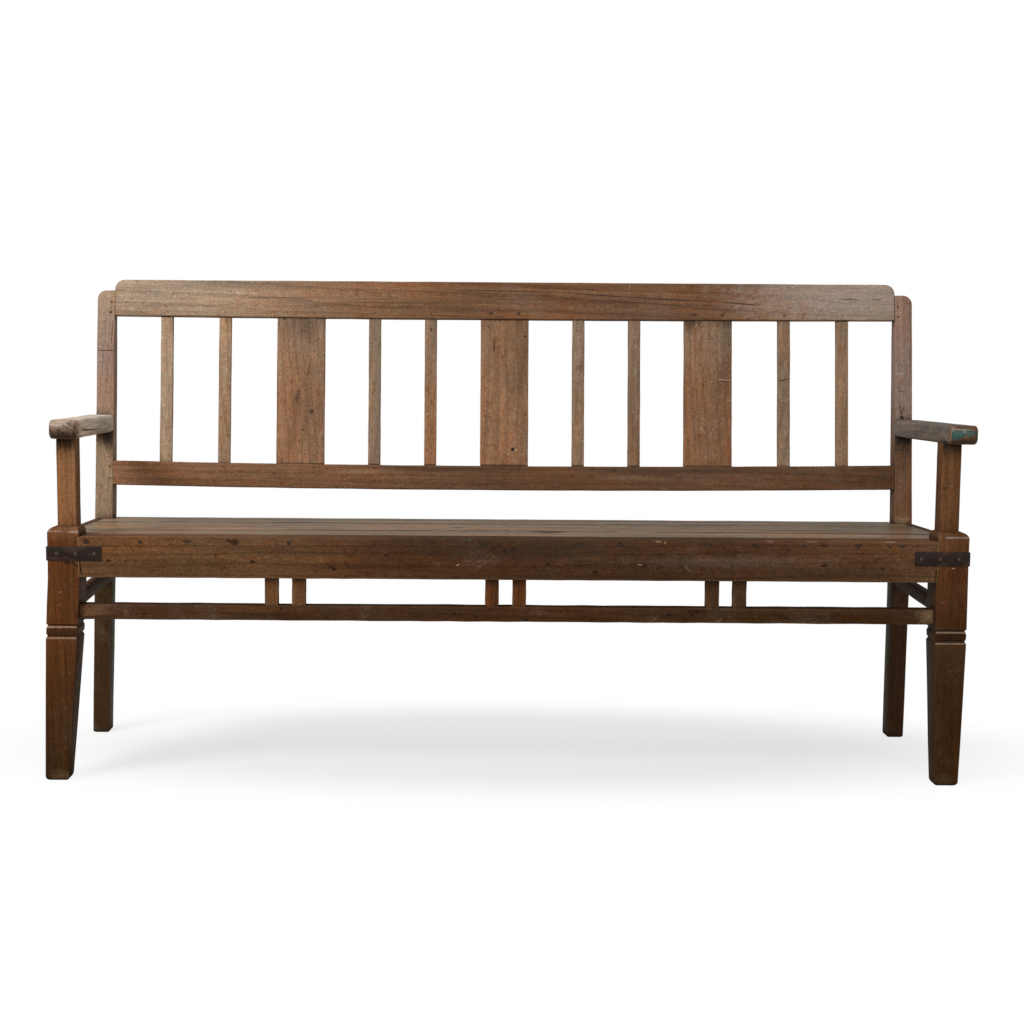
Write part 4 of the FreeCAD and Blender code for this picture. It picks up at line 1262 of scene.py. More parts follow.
class Workpiece:
    """One piece while it is shaped, in millimetres of the bench's plan.

    X runs along the bench, Y from the front faces of the front legs to the back, and Z up from
    the floor.
    """

    def __init__(self, name: str, low: Triple, high: Triple) -> None:
        """Start from a block.

        Args:
            name: The piece's name.
            low: The block's lowest corner.
            high: Its highest corner.
        """
        bpy.ops.object.select_all(action="DESELECT")
        middle = (Vector(low) + Vector(high)) / 2
        bpy.ops.mesh.primitive_cube_add(size=1.0, location=middle * MM)
        self.object = bpy.context.active_object
        self.object.name = name
        self.object.data.name = name
        self.object.scale = (Vector(high) - Vector(low)) * MM
        self._apply()
        bpy.ops.object.mode_set(mode="EDIT")

    @staticmethod
    def _apply() -> None:
        """Put the place, turn and size of the selected object into its mesh."""
        bpy.ops.object.transform_apply(location=True, rotation=True, scale=True)

    def select(self, kind: str, test: Callable[..., bool]) -> int:
        """Select what passes a test and nothing else.

        Args:
            kind: VERT, EDGE or FACE.
            test: The test for one element.

        Returns:
            How many passed.
        """
        bpy.ops.mesh.select_mode(type=kind)
        bpy.ops.mesh.select_all(action="DESELECT")
        mesh = bmesh.from_edit_mesh(self.object.data)
        found = {"VERT": mesh.verts, "EDGE": mesh.edges, "FACE": mesh.faces}[kind]
        chosen = [item for item in found if test(item)]
        for item in chosen:
            item.select_set(True)
        mesh.select_flush_mode()
        bmesh.update_edit_mesh(self.object.data)
        return len(chosen)

    def cut(self, axis: int, places: Iterable[float]) -> None:
        """Cut the surface all round at places along an axis."""
        normal = tuple(float(axis == number) for number in range(3))
        for place in places:
            point = tuple(place * MM * value for value in normal)
            bpy.ops.mesh.select_all(action="SELECT")
            bpy.ops.mesh.bisect(plane_co=point, plane_no=normal)

    def cut_evenly(self, axis: int, low: float, high: float, count: int) -> None:
        """Cut into equal lengths between two places along an axis."""
        self.cut(axis, [low + (high - low) * number / count for number in range(1, count)])

    def move(self, test: Callable[..., bool], offset: Sequence[float], kind: str = "VERT") -> None:
        """Move what passes a test."""
        if self.select(kind, test):
            bpy.ops.transform.translate(value=Vector(offset) * MM)

    def sway(
        self, axis: int, test: Callable[..., bool], shift: Callable[[float], Sequence[float]]
    ) -> None:
        """Move each ring of vertices along an axis by its own amount.

        Args:
            axis: The axis that the rings follow one another on.
            test: Which vertices of a ring move.
            shift: The offset for a ring's place.
        """
        mesh = bmesh.from_edit_mesh(self.object.data)
        places = sorted({round(at(vertex)[axis], 1) for vertex in mesh.verts if test(vertex)})
        for place in places:
            self.move(lambda v: abs(at(v)[axis] - place) < 0.11 and test(v), shift(place))

    def roughen(
        self, amount: float, seed: int, test: Callable[..., bool] | None = None
    ) -> None:
        """Let the vertices stray a little, as old wood does."""
        self.select("VERT", test or (lambda vertex: True))
        bpy.ops.transform.vertex_random(offset=amount * MM, uniform=1.0, seed=seed)

    def soften(
        self, test: Callable[..., bool], radius: float, segments: int = 2, clamp: bool = True
    ) -> None:
        """Round the edges that pass a test.

        Args:
            test: The test for one edge.
            radius: How far the rounding reaches, in millimetres.
            segments: How many faces it has.
            clamp: Whether it stays short of its neighbours.
        """
        if self.select("EDGE", test):
            bpy.ops.mesh.bevel(
                offset=radius * MM, segments=segments, affect="EDGES", clamp_overlap=clamp
            )

    def pull(self, test: Callable[..., bool], offset: Sequence[float]) -> None:
        """Extrude the faces that pass a test."""
        if self.select("FACE", test):
            move = {"value": Vector(offset) * MM}
            bpy.ops.mesh.extrude_region_move(TRANSFORM_OT_translate=move)

    def stack(self, rings: Sequence[Sequence[float]], axis: int = 2) -> None:
        """Extrude the end face from ring to ring.

        Args:
            rings: For each ring, the low and high values of the other two axes and its place on the
                axis; the first one is the end face as it is.
            axis: The axis that the rings follow one another on.
        """
        others = [number for number in range(3) if number != axis]
        end = rings[0][4]
        self.select("FACE", lambda face: abs(at(face)[axis] - end) < 1e-3)
        for before, after in zip(rings, rings[1:]):
            offset = [0.0, 0.0, 0.0]
            middle = [0.0, 0.0, 0.0]
            factor = [1.0, 1.0, 1.0]
            for number, other in enumerate(others):
                low, high = after[2 * number : 2 * number + 2]
                old_low, old_high = before[2 * number : 2 * number + 2]
                middle[other] = (low + high) / 2
                offset[other] = middle[other] - (old_low + old_high) / 2
                factor[other] = (high - low) / (old_high - old_low)
            middle[axis] = after[4]
            offset[axis] = after[4] - before[4]
            move = {"value": Vector(offset) * MM}
            bpy.ops.mesh.extrude_region_move(TRANSFORM_OT_translate=move)
            bpy.ops.transform.resize(value=factor, center_override=Vector(middle) * MM)

    def place(self, turn: Matrix | None = None) -> bpy.types.Object:
        """Leave edit mode, shade the piece and move it from the plan to the frame.

        Args:
            turn: The matrix that turns it, in metres of the plan.

        Returns:
            The finished object, at the origin.
        """
        bpy.ops.object.mode_set(mode="OBJECT")
        bpy.ops.object.select_all(action="DESELECT")
        self.object.select_set(True)
        bpy.context.view_layer.objects.active = self.object
        bpy.ops.object.shade_smooth_by_angle(angle=math.radians(SMOOTH_ANGLE))
        whole = turn or Matrix.Identity(4)
        self.object.matrix_world = Matrix.Translation(PLAN_TO_FRAME) @ whole
        self._apply()
        return self.object


def hand_over(
    piece: bpy.types.Object, material: bpy.types.Material, slot: str, *nodes: str
) -> None:
    """Give a finished piece its material and let it stand for its nodes.

    Args:
        piece: The finished object.
        material: Its material.
        slot: The record's slot; not used.
        nodes: The nodes that it stands for.
    """
    piece.data.materials.clear()
    piece.data.materials.append(material)
    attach(piece, "root")
    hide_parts(*nodes)
    low = [min(vertex.co[axis] for vertex in piece.data.vertices) for axis in range(3)]
    high = [max(vertex.co[axis] for vertex in piece.data.vertices) for axis in range(3)]
    size = " x ".join(f"{(top - bottom) / MM:.0f}" for bottom, top in zip(low, high))
    LOG.info("%s: %s mm, %d faces", piece.name, size, len(piece.data.polygons))


def copies(piece: bpy.types.Object, places: Sequence[Matrix]) -> bpy.types.Object:
    """Copy a small piece to several places and join the copies.

    Args:
        piece: The piece, modelled at the origin.
        places: Where each copy goes, in metres of the plan.

    Returns:
        One object with all of them.
    """
    made = []
    for place in places:
        twin = piece.copy()
        twin.data = piece.data.copy()
        bpy.context.collection.objects.link(twin)
        twin.matrix_world = Matrix.Translation(PLAN_TO_FRAME) @ place
        made.append(twin)
    name = piece.name
    bpy.data.objects.remove(piece)
    bpy.ops.object.select_all(action="DESELECT")
    for twin in made:
        twin.select_set(True)
    bpy.context.view_layer.objects.active = made[0]
    bpy.ops.object.transform_apply(location=True, rotation=True, scale=True)
    bpy.ops.object.join()
    made[0].name = name
    return made[0]


def upright_turn(rake: float, depth: float, height: float) -> Matrix:
    """Return the matrix that leans an upright piece against the posts.

    Args:
        rake: The lean, in degrees.
        depth: The depth of the front plane at the bend, in millimetres.
        height: The height of the bend.

    Returns:
        The matrix, in metres of the plan.
    """
    move = Matrix.Translation(Vector((0.0, depth, height)) * MM)
    return move @ Matrix.Rotation(math.radians(-rake), 4, "X")


# Sub-assemblies


@dataclass
class Frame:
    """Sizes that the sub-assemblies share, in millimetres."""

    half_length: float = 850.0
    depth: float = 388.5
    seat_height: float = 462.5
    seat_fall: float = 8.0
    bend: float = 461.3
    rake: float = 7.1
    leg: float = 59.0
    post: float = 36.0
    post_depth: float = 43.0
    apron_bottom: float = 386.0
    board: float = 20.0

    @property
    def leg_inner(self) -> float:
        """Inner faces of the front legs."""
        return self.half_length - self.leg

    @property
    def post_inner(self) -> float:
        """Inner faces of the back posts."""
        return self.half_length - self.post

    @property
    def back(self) -> float:
        """Back faces of the posts at the seat."""
        return self.depth + self.post_depth

    @property
    def turn(self) -> Matrix:
        """The lean of the back."""
        return upright_turn(self.rake, self.depth, self.bend)

    def seat(self, depth: float) -> float:
        """Return the height of the seat's top at a depth."""
        return self.seat_height - self.seat_fall * depth / self.depth

    def face(self, height: float) -> float:
        """Return the depth of the leaning posts' faces at a height."""
        return self.depth + (height - self.bend) * math.tan(math.radians(self.rake))


@dataclass
class FrontLegs:
    """The two front legs, each one piece with the post under its arm."""

    frame: Frame
    foot_taper: float = 6.75
    foot_front: float = 5.0
    foot_back: float = 18.0
    foot_round: float = 9.0
    splay: Pair = (20.0, 3.5)
    collar: float = 272.5
    collar_band: float = 25.0
    groove: float = 2.4
    shoulder: float = 467.0
    shoulder_height: float = 12.5
    shoulder_in: Sequence[float] = (17.0, 6.5, 12.0, 11.0)
    arm_height: float = 641.5
    post_cuts: Sequence[float] = (520.0, 570.0, 615.0)

    def _insets(self, foot: float, shoulder: float) -> list[Pair]:
        """Return the (inset, height) pairs of one side, from the floor to the arm."""
        steps: list[Pair] = []
        radius = self.foot_round
        for number in range(5):
            angle = math.radians(90 * number / 4)
            steps.append((foot + radius * (1 - math.sin(angle)), radius * (1 - math.cos(angle))))
        for share in (0.3, 0.65):
            height = self.collar * share
            steps.append((foot * (1 - share), height))
        top = self.collar + self.collar_band
        for inset, above in (
            (0.0, -2.6), (0.3, -1.4), (self.groove, 2.4), (self.groove, 4.6), (1.3, 5.4),
            (0.5, 7.0), (0.3, 11.0), (0.3, 15.0), (0.6, 18.0), (1.2, 19.2), (self.groove, 22.6),
            (self.groove, 24.4),
        ):
            steps.append((inset, self.collar + above))
        steps += [(0.6, top), (0.0, top + 1.2), (0.0, 340.0), (0.0, self.frame.apron_bottom)]
        steps += [(0.0, 425.0), (0.0, self.shoulder)]
        for number in range(1, 7):
            angle = math.radians(90 * number / 6)
            inset = shoulder * (1 - math.cos(angle))
            steps.append((inset, self.shoulder + self.shoulder_height * math.sin(angle)))
        steps += [(shoulder, height) for height in (*self.post_cuts, self.arm_height + 2.0)]
        return steps

    def build(self) -> None:
        """Make both legs."""
        for side, name in ((-1, "left"), (1, "right")):
            rings = self._rings(side, self.splay[side > 0])
            low = rings[0]
            piece = Workpiece(f"leg_{name}", (low[0], low[2], 0.0), (low[1], low[3], rings[1][4]))
            piece.stack([(*low[:4], rings[1][4]), *rings[1:]])
            piece.soften(self._is_corner, 2.0, 3, clamp=False)
            seed = 3 + side
            piece.roughen(0.25, seed, lambda vertex: 20 < at(vertex)[2] < 620)
            hand_over(piece.place(), dressed(f"leg_{name}"), "leg_wood", f"front_leg_{name}")

    def _rings(self, side: int, splay: float) -> list[tuple[float, ...]]:
        """Return the rings of one leg: X low and high, Y low and high, and the height."""
        frame = self.frame
        sides = [
            self._insets(foot, shoulder)
            for foot, shoulder in zip(
                (self.foot_taper, self.foot_taper, self.foot_front, self.foot_back),
                self.shoulder_in,
            )
        ]
        rings = []
        for outer, inner, front, back in zip(*sides):
            height = outer[1]
            lean = splay * max(0.0, 1 - height / frame.apron_bottom)
            edges = sorted((
                side * (frame.half_length - outer[0] + lean),
                side * (frame.leg_inner + inner[0] + lean),
            ))
            rings.append((*edges, front[0], frame.leg - back[0], height))
        return rings

    @staticmethod
    def _is_corner(edge: bmesh.types.BMEdge) -> bool:
        """Tell whether an edge belongs to one of the leg's four corners."""
        line = edge.verts[1].co - edge.verts[0].co
        slanted = abs(line.x) > 1e-6 and abs(line.y) > 1e-6
        return at(edge)[2] > 0.1 and (abs(line.z) > 1e-6 or slanted)


@dataclass
class BackPosts:
    """The rear legs, which run on as the posts of the back."""

    frame: Frame
    top: float = 927.0
    top_depth: float = 24.0
    corner: float = 19.0
    foot: Pair = (34.0, 38.0)
    foot_worn: Pair = (4.0, 1.2)
    splay: Pair = (13.0, -2.0)

    def build(self) -> None:
        """Make both posts."""
        for side, name in ((-1, "left"), (1, "right")):
            rings = self._rings(side, self.splay[side > 0])
            low = rings[0]
            piece = Workpiece(f"post_{name}", (low[0], low[2], 0.0), (low[1], low[3], rings[1][4]))
            piece.stack([(*low[:4], rings[1][4]), *rings[1:]])
            seed = 11 + side
            piece.roughen(0.3, seed, lambda vertex: 20 < at(vertex)[2] < self.top - 30)
            outer = side * self.frame.half_length
            piece.soften(
                lambda edge: at(edge)[2] > self.top - 1 and abs(at(edge)[0] - outer) < 1,
                self.corner, 8,
            )
            piece.soften(lambda edge: is_arris(edge) and at(edge)[2] > 1, 1.8, 2)
            hand_over(piece.place(), dressed(f"post_{name}"), "post_wood", f"back_post_{name}")

    def _rings(self, side: int, splay: float) -> list[tuple[float, ...]]:
        """Return the rings of one post: X low and high, Y low and high, and the height."""
        frame = self.frame
        heights = [0.0, 1.2, 4.0, 80.0, 180.0, 290.0, frame.apron_bottom, 430.0, frame.bend]
        heights += [520.0, 580.0, 640.0, 700.0, 760.0, 820.0, 870.0, self.top]
        rings = []
        for height in heights:
            share = max(0.0, 1 - height / frame.apron_bottom)
            narrow = (frame.post - self.foot[0]) / 2 * share
            shallow = (frame.post_depth - self.foot[1]) / 2 * share
            worn = self.foot_worn[0] if height == 0 else self.foot_worn[1] if height < 2 else 0.0
            lean = splay * max(0.0, 1 - height / frame.bend)
            outer = side * (frame.half_length - narrow - worn + lean)
            inner = side * (frame.post_inner + narrow + worn + lean)
            front = frame.depth + shallow + worn
            back = frame.back - shallow - worn
            if height > frame.bend:
                rise = (height - frame.bend) / (self.top - frame.bend)
                front = frame.face(height)
                back = frame.back + (frame.face(self.top) + self.top_depth - frame.back) * rise
            rings.append((*sorted((outer, inner)), front, back, height))
        return rings


@dataclass
class Back:
    """The crest rail, the lower rail, the splats and the slats."""

    frame: Frame
    crest: Pair = (417.4, 492.0)
    crest_belly: float = 3.0
    crest_thickness: float = 23.0
    crest_corner: float = 20.0
    lower: Pair = (64.2, 114.1)
    sag: float = 6.5
    lower_thickness: float = 24.0
    splats: Sequence[float] = SPLAT_PLACES
    splat_width: float = 100.0
    slat_width: float = 25.3
    set_back: float = 4.5
    thickness: float = 12.5

    def build(self) -> None:
        """Make the whole back."""
        self._rail("crest", self.crest, self.crest_thickness, self.crest_belly, 0.0)
        self._rail("lower", self.lower, self.lower_thickness, self.sag, self.sag)
        edges = [-self.frame.post_inner]
        for middle, name in zip(self.splats, ("left", "centre", "right")):
            edges += [middle - self.splat_width / 2, middle + self.splat_width / 2]
            self._upright(f"splat_{name}", middle, self.splat_width)
        edges.append(self.frame.post_inner)
        number = 0
        for left, right in zip(edges[::2], edges[1::2]):
            gap = (right - left - 2 * self.slat_width) / 3
            for middle in (left + gap + self.slat_width / 2, right - gap - self.slat_width / 2):
                number += 1
                self._upright(f"slat_{number}", middle, self.slat_width)

    def _rail(
        self, name: str, span: Pair, thickness: float, bottom_sag: float, top_sag: float
    ) -> None:
        """Make one of the two rails, upright, and lean it.

        Args:
            name: The rail's name.
            span: Its lower and upper edge at the posts.
            thickness: Its thickness.
            bottom_sag: How far the middle of its lower edge hangs.
            top_sag: How far the middle of its upper edge hangs.
        """
        side = self.frame.post_inner
        piece = Workpiece(f"{name}_rail", (-side, 0.0, span[0]), (side, thickness, span[1]))
        piece.cut_evenly(0, -side, side, 30)
        if name == "crest":
            piece.soften(
                lambda edge: at(edge)[2] > span[1] - 1 and abs(at(edge)[0]) > side - 1
                and abs(at(edge)[1] - thickness / 2) < 1,
                self.crest_corner, 9,
            )
        middle = (span[0] + span[1]) / 2
        for sag, test in (
            (bottom_sag, lambda vertex: at(vertex)[2] < middle),
            (top_sag, lambda vertex: at(vertex)[2] > middle),
        ):
            if sag:
                piece.sway(0, test, lambda x: (0.0, 0.0, -sag * (1 - (x / side) ** 2)))
        piece.roughen(0.3, len(name), lambda vertex: abs(at(vertex)[0]) < side - 30)
        piece.soften(is_arris, 2.4 if name == "crest" else 1.8, 3)
        node = "crest_rail" if name == "crest" else "lower_back_rail"
        hand_over(piece.place(self.frame.turn), dressed(f"{name}_rail"), "rail_wood", node)

    def _upright(self, name: str, middle: float, width: float) -> None:
        """Make one splat or slat, upright, and lean it.

        Args:
            name: Its name.
            middle: Its middle along the bench.
            width: Its width.
        """
        seed = 40 + int(middle + 900) // 7
        low, high = self.lower[1] - self.sag - 4, self.crest[0] + 2
        piece = Workpiece(
            name,
            (middle - width / 2, self.set_back, low),
            (middle + width / 2, self.set_back + self.thickness, high),
        )
        piece.cut_evenly(2, low, high, 9)
        piece.roughen(0.35, seed)
        piece.soften(runs(2), 1.3, 2)
        hand_over(piece.place(self.frame.turn), dressed(name), "splat_wood", f"back_{name}")


@dataclass
class Arms:
    """The two arms, with round noses."""

    frame: Frame
    width: float = 51.0
    thickness: float = 35.0
    height: float = 641.5
    fall: float = 7.0
    overhang: float = 18.0
    cuts: Sequence[float] = (360.0, 300.0, 240.0, 180.0, 120.0, 60.0, 20.0)
    nose: float = 12.0
    nose_shares: Sequence[float] = (0.75, 0.5, 0.28, 0.10)
    nose_narrow: float = 4.0
    nose_inner: Pair = (788.5, 803.5)

    def build(self) -> None:
        """Make both arms."""
        for side, name in ((-1, "left"), (1, "right")):
            inner = self.nose_inner[side > 0]
            rings = self._rings(side, inner)
            low = rings[0]
            tail = rings[1][4]
            piece = Workpiece(f"arm_{name}", (low[0], tail, low[2]), (low[1], low[4], low[3]))
            step = (rings[1][0] - low[0], 0.0, rings[1][2] - low[2])
            piece.move(lambda vertex: at(vertex)[1] < low[4] - 1, step)
            piece.stack([(*rings[1][:4], rings[1][4]), *rings[2:]], axis=1)
            seed = 60 + side
            piece.roughen(0.4, seed, lambda vertex: at(vertex)[1] < 380)
            piece.soften(self._is_long, 6.0, 4, clamp=False)
            piece.soften(lambda edge: is_arris(edge) and at(edge)[1] < 0, 3.0, 3)
            hand_over(piece.place(), dressed(f"arm_{name}"), "arm_wood", f"arm_{name}")

    def _rings(self, side: int, inner: float) -> list[tuple[float, ...]]:
        """Return the rings from the back post to the nose: X, Z and the depth."""
        frame = self.frame
        end = frame.face(self.height)
        nose = -self.overhang
        depths = [end + 1.5, *self.cuts, nose + self.nose]
        half = self.thickness / 2
        radius = (half ** 2 + self.nose ** 2) / (2 * self.nose)
        depths += [nose + self.nose * share for share in self.nose_shares]
        rings = []
        for depth in depths:
            share = (depth - nose) / (end - nose)
            low_x = inner + (frame.post_inner - inner) * share
            middle = self.height - self.fall * depth / frame.depth + half
            reach, narrow = half, 0.0
            if depth < nose + self.nose:
                reach = math.sqrt(max(0.0, radius ** 2 - (depth - nose - radius) ** 2))
                narrow = self.nose_narrow * (1 - (depth - nose) / self.nose) ** 2
            edges = sorted((side * (low_x + narrow), side * (low_x + self.width - narrow)))
            rings.append((*edges, middle - reach, middle + reach, depth))
        return rings

    @staticmethod
    def _is_long(edge: bmesh.types.BMEdge) -> bool:
        """Tell whether an edge belongs to one of the arm's four long corners."""
        line = edge.verts[1].co - edge.verts[0].co
        return is_arris(edge) and abs(line.x) < 0.9 * line.length and abs(line.y) > 1e-6


@dataclass
class SeatFrame:
    """The apron, the side rails, the rear rail and the bearers."""

    frame: Frame
    apron_thickness: float = 58.0
    side_depth: float = 74.5
    rebate: float = 20.0
    rear: Pair = (404.5, 428.5)
    rear_depth: float = 62.0
    bearers: Sequence[float] = (-420.0, 0.0, 420.0)
    bearer_width: float = 45.0
    bearer_depth: float = 38.0

    def build(self) -> None:
        """Make every rail of the seat."""
        self._apron()
        for side, name in ((-1, "left"), (1, "right")):
            self._side_rail(side, name)
        self._hidden()

    def _slope(self, piece: Workpiece, test: Callable[..., bool]) -> None:
        """Let the tops that pass a test follow the fall of the seat."""
        frame = self.frame
        piece.sway(1, test, lambda y: (0.0, 0.0, frame.seat(y) - frame.seat_height))

    def _apron(self) -> None:
        """Make the front seat rail with its worn upper arris."""
        frame = self.frame
        reach = frame.leg_inner + 2
        high = (reach, self.apron_thickness, frame.seat_height)
        piece = Workpiece("apron", (-reach, 0.0, frame.apron_bottom), high)
        piece.cut_evenly(0, -reach, reach, 52)
        middle = (frame.seat_height + frame.apron_bottom) / 2
        self._slope(piece, lambda vertex: at(vertex)[2] > middle)
        piece.roughen(0.55, 5, lambda vertex: at(vertex)[1] < 1 and at(vertex)[2] > middle)
        piece.roughen(0.3, 6, lambda vertex: at(vertex)[1] < 1 and at(vertex)[2] < middle)
        piece.soften(lambda e: runs(0)(e) and at(e)[1] < 2 and at(e)[2] > middle, 4.6, 4)
        piece.soften(lambda e: runs(0)(e) and at(e)[2] < middle, 1.8, 2)
        piece.soften(lambda e: runs(0)(e) and at(e)[1] > 40, 1.4, 2)
        hand_over(piece.place(), dressed("apron"), "apron_wood", "front_apron")

    def _side_rail(self, side: int, name: str) -> None:
        """Make one side rail with the rebate for the boards.

        Args:
            side: -1 for left and 1 for right.
            name: The side's name.
        """
        frame = self.frame
        inner = frame.post_inner + self.rebate
        xs = sorted((side * inner, side * frame.half_length))
        low = frame.seat_height - self.side_depth
        front, back = frame.leg - 1, frame.depth + 1
        high = (xs[1], back, frame.seat_height)
        piece = Workpiece(f"side_rail_{name}", (xs[0], front, low), high)
        piece.cut_evenly(1, front, back, 8)
        ledge = frame.seat_height - frame.board
        piece.cut(2, [ledge])
        piece.pull(
            lambda face: abs(at(face)[0] - side * inner) < 1e-3 and at(face)[2] < ledge,
            (-side * self.rebate, 0.0, 0.0),
        )
        self._slope(piece, lambda vertex: at(vertex)[2] > ledge - 1)
        piece.roughen(0.3, 8 + side, lambda vertex: front + 5 < at(vertex)[1] < back - 5)
        piece.soften(runs(1), 2.0, 2)
        finish = dressed(f"side_rail_{name}")
        hand_over(piece.place(), finish, "apron_wood", f"side_seat_rail_{name}")

    def _hidden(self) -> None:
        """Make the rear rail and the bearers, which the boards hide."""
        frame = self.frame
        reach = frame.post_inner + 2
        top = frame.seat(self.rear[1]) - frame.board
        low = (-reach, self.rear[0], top - self.rear_depth)
        piece = Workpiece("rear_rail", low, (reach, self.rear[1], top + 0.4))
        piece.cut_evenly(0, -reach, reach, 20)
        piece.roughen(0.4, 9, lambda vertex: abs(at(vertex)[0]) < reach - 5)
        piece.soften(runs(0), 1.5, 2)
        hand_over(piece.place(), dressed("rear_rail"), "hidden_wood", "rear_seat_rail")
        for middle, name in zip(self.bearers, ("left", "centre", "right")):
            half = self.bearer_width / 2
            front, back = self.apron_thickness - 2, self.rear[0] + 2
            high = frame.seat_height - frame.board
            piece = Workpiece(
                f"bearer_{name}",
                (middle - half, front, high - self.bearer_depth),
                (middle + half, back, high),
            )
            piece.cut_evenly(1, front, back, 8)
            self._slope(piece, lambda vertex: True)
            piece.roughen(0.4, 9, lambda vertex: front + 5 < at(vertex)[1] < back - 5)
            piece.soften(runs(1), 1.8, 2)
            finish = dressed(f"bearer_{name}", "bearer")
            hand_over(piece.place(), finish, "hidden_wood", f"seat_bearer_{name}")


@dataclass
class SeatBoards:
    """The three boards of the seat, whose first seam is bowed."""

    frame: Frame
    end: float = 834.0
    gap: float = 2.6
    front: float = 58.5
    arris: float = 4.0
    first: Triple = (116.0, 160.0, 134.0)
    second: float = 318.0

    def _first_seam(self, x: float) -> float:
        """Return the depth of the first seam at a place along the bench."""
        left, middle, right = self.first
        share = x / self.end
        straight = left + (right - left) * (share + 1) / 2
        return straight + (middle - (left + right) / 2) * (1 - share * share)

    def build(self) -> None:
        """Make the boards."""
        half = self.gap / 2
        self._board("front", lambda x: self.front, lambda x: self._first_seam(x) - half)
        self._board("middle", lambda x: self._first_seam(x) + half, lambda x: self.second - half)
        self._board("back", lambda x: self.second + half, lambda x: self.frame.depth - 0.3)

    def _board(
        self, name: str, front: Callable[[float], float], back: Callable[[float], float]
    ) -> None:
        """Make one board.

        Args:
            name: The board's name.
            front: The depth of its front edge at a place along the bench.
            back: The depth of its back edge.
        """
        frame = self.frame
        top = frame.seat_height
        low = (-self.end, 0.0, top - frame.board)
        piece = Workpiece(f"board_{name}", low, (self.end, 1.0, top))
        piece.cut_evenly(0, -self.end, self.end, 40)
        if name == "back":
            piece.cut(0, [-frame.post_inner, frame.post_inner])
        piece.sway(0, lambda v: at(v)[1] > 0.5, lambda x: (0.0, back(x) - 1.0, 0.0))
        piece.sway(0, lambda v: at(v)[1] < 0.5, lambda x: (0.0, front(x), 0.0))
        if name == "back":
            piece.pull(
                lambda face: at(face)[1] > back(0) - 1 and abs(at(face)[0]) < frame.post_inner
                and abs(face.normal.y) > 0.9,
                (0.0, frame.back - back(0), 0.0),
            )
        mesh = bmesh.from_edit_mesh(piece.object.data)
        for depth in sorted({round(at(vertex)[1], 1) for vertex in mesh.verts}):
            fall = frame.seat(depth) - frame.seat_height
            piece.move(lambda v: abs(at(v)[1] - depth) < 0.06, (0.0, 0.0, fall))
        piece.roughen(0.3, len(name), lambda vertex: abs(at(vertex)[0]) < self.end - 20)
        piece.soften(is_arris, self.arris, 3)
        hand_over(piece.place(), dressed(f"board_{name}"), "seat_wood", f"seat_board_{name}")


@dataclass
class Stretchers:
    """The front stretcher, its short uprights and the side stretchers."""

    frame: Frame
    span: Pair = (305.5, 334.0)
    depth: Pair = (12.0, 40.0)
    uprights: Sequence[float] = UPRIGHT_PLACES
    upright_width: float = 25.2
    upright_depth: Pair = (14.0, 32.0)
    side_span: Pair = (324.5, 347.5)
    side_width: float = 22.0
    side_middle: Pair = (811.5, 827.0)

    def build(self) -> None:
        """Make all of them."""
        self._front()
        for number, middle in enumerate(self.uprights, 1):
            half = self.upright_width / 2
            low = (middle - half, self.upright_depth[0], self.span[1] - 2)
            high = (middle + half, self.upright_depth[1], self.frame.apron_bottom + 2)
            piece = Workpiece(f"upright_{number}", low, high)
            piece.cut_evenly(2, low[2], high[2], 4)
            piece.roughen(0.4, number, lambda vertex: low[2] + 4 < at(vertex)[2] < high[2] - 4)
            piece.soften(runs(2), 1.4, 2)
            side = ("left", "centre", "right")[(number - 1) // 2]
            finish = dressed(f"upright_{number}", f"upright_{side}")
            hand_over(piece.place(), finish, "stretcher_wood", f"stretcher_upright_{number}")
        for side, name in ((-1, "left"), (1, "right")):
            self._side(side, name)

    def _front(self) -> None:
        """Make the long front stretcher."""
        left = -(self.frame.leg_inner + 6.0)
        right = self.frame.leg_inner + 4.0
        low = (left, self.depth[0], self.span[0])
        piece = Workpiece("stretcher_front", low, (right, self.depth[1], self.span[1]))
        piece.cut_evenly(0, left, right, 44)
        piece.roughen(0.5, 12, lambda vertex: left + 20 < at(vertex)[0] < right - 20)
        piece.soften(runs(0), 2.0, 2)
        hand_over(piece.place(), dressed("stretcher_front"), "stretcher_wood", "front_stretcher")

    def _side(self, side: int, name: str) -> None:
        """Make one side stretcher, which runs askew.

        Args:
            side: -1 for left and 1 for right.
            name: The side's name.
        """
        front, back = self.frame.leg - 1.5, self.frame.depth + 1.5
        half = self.side_width / 2
        start, stop = self.side_middle
        piece = Workpiece(
            f"stretcher_{name}",
            (side * start - half, front, self.side_span[0]),
            (side * start + half, back, self.side_span[1]),
        )
        piece.cut_evenly(1, front, back, 9)
        share = (stop - start) / (back - front)
        piece.sway(1, lambda vertex: True, lambda y: (side * share * (y - front), 0.0, 0.0))
        piece.roughen(0.4, 15 + side, lambda vertex: front + 9 < at(vertex)[1] < back - 9)
        piece.soften(runs(1), 1.6, 2)
        finish = dressed(f"stretcher_{name}", "stretcher_side")
        hand_over(piece.place(), finish, "stretcher_wood", f"side_stretcher_{name}")


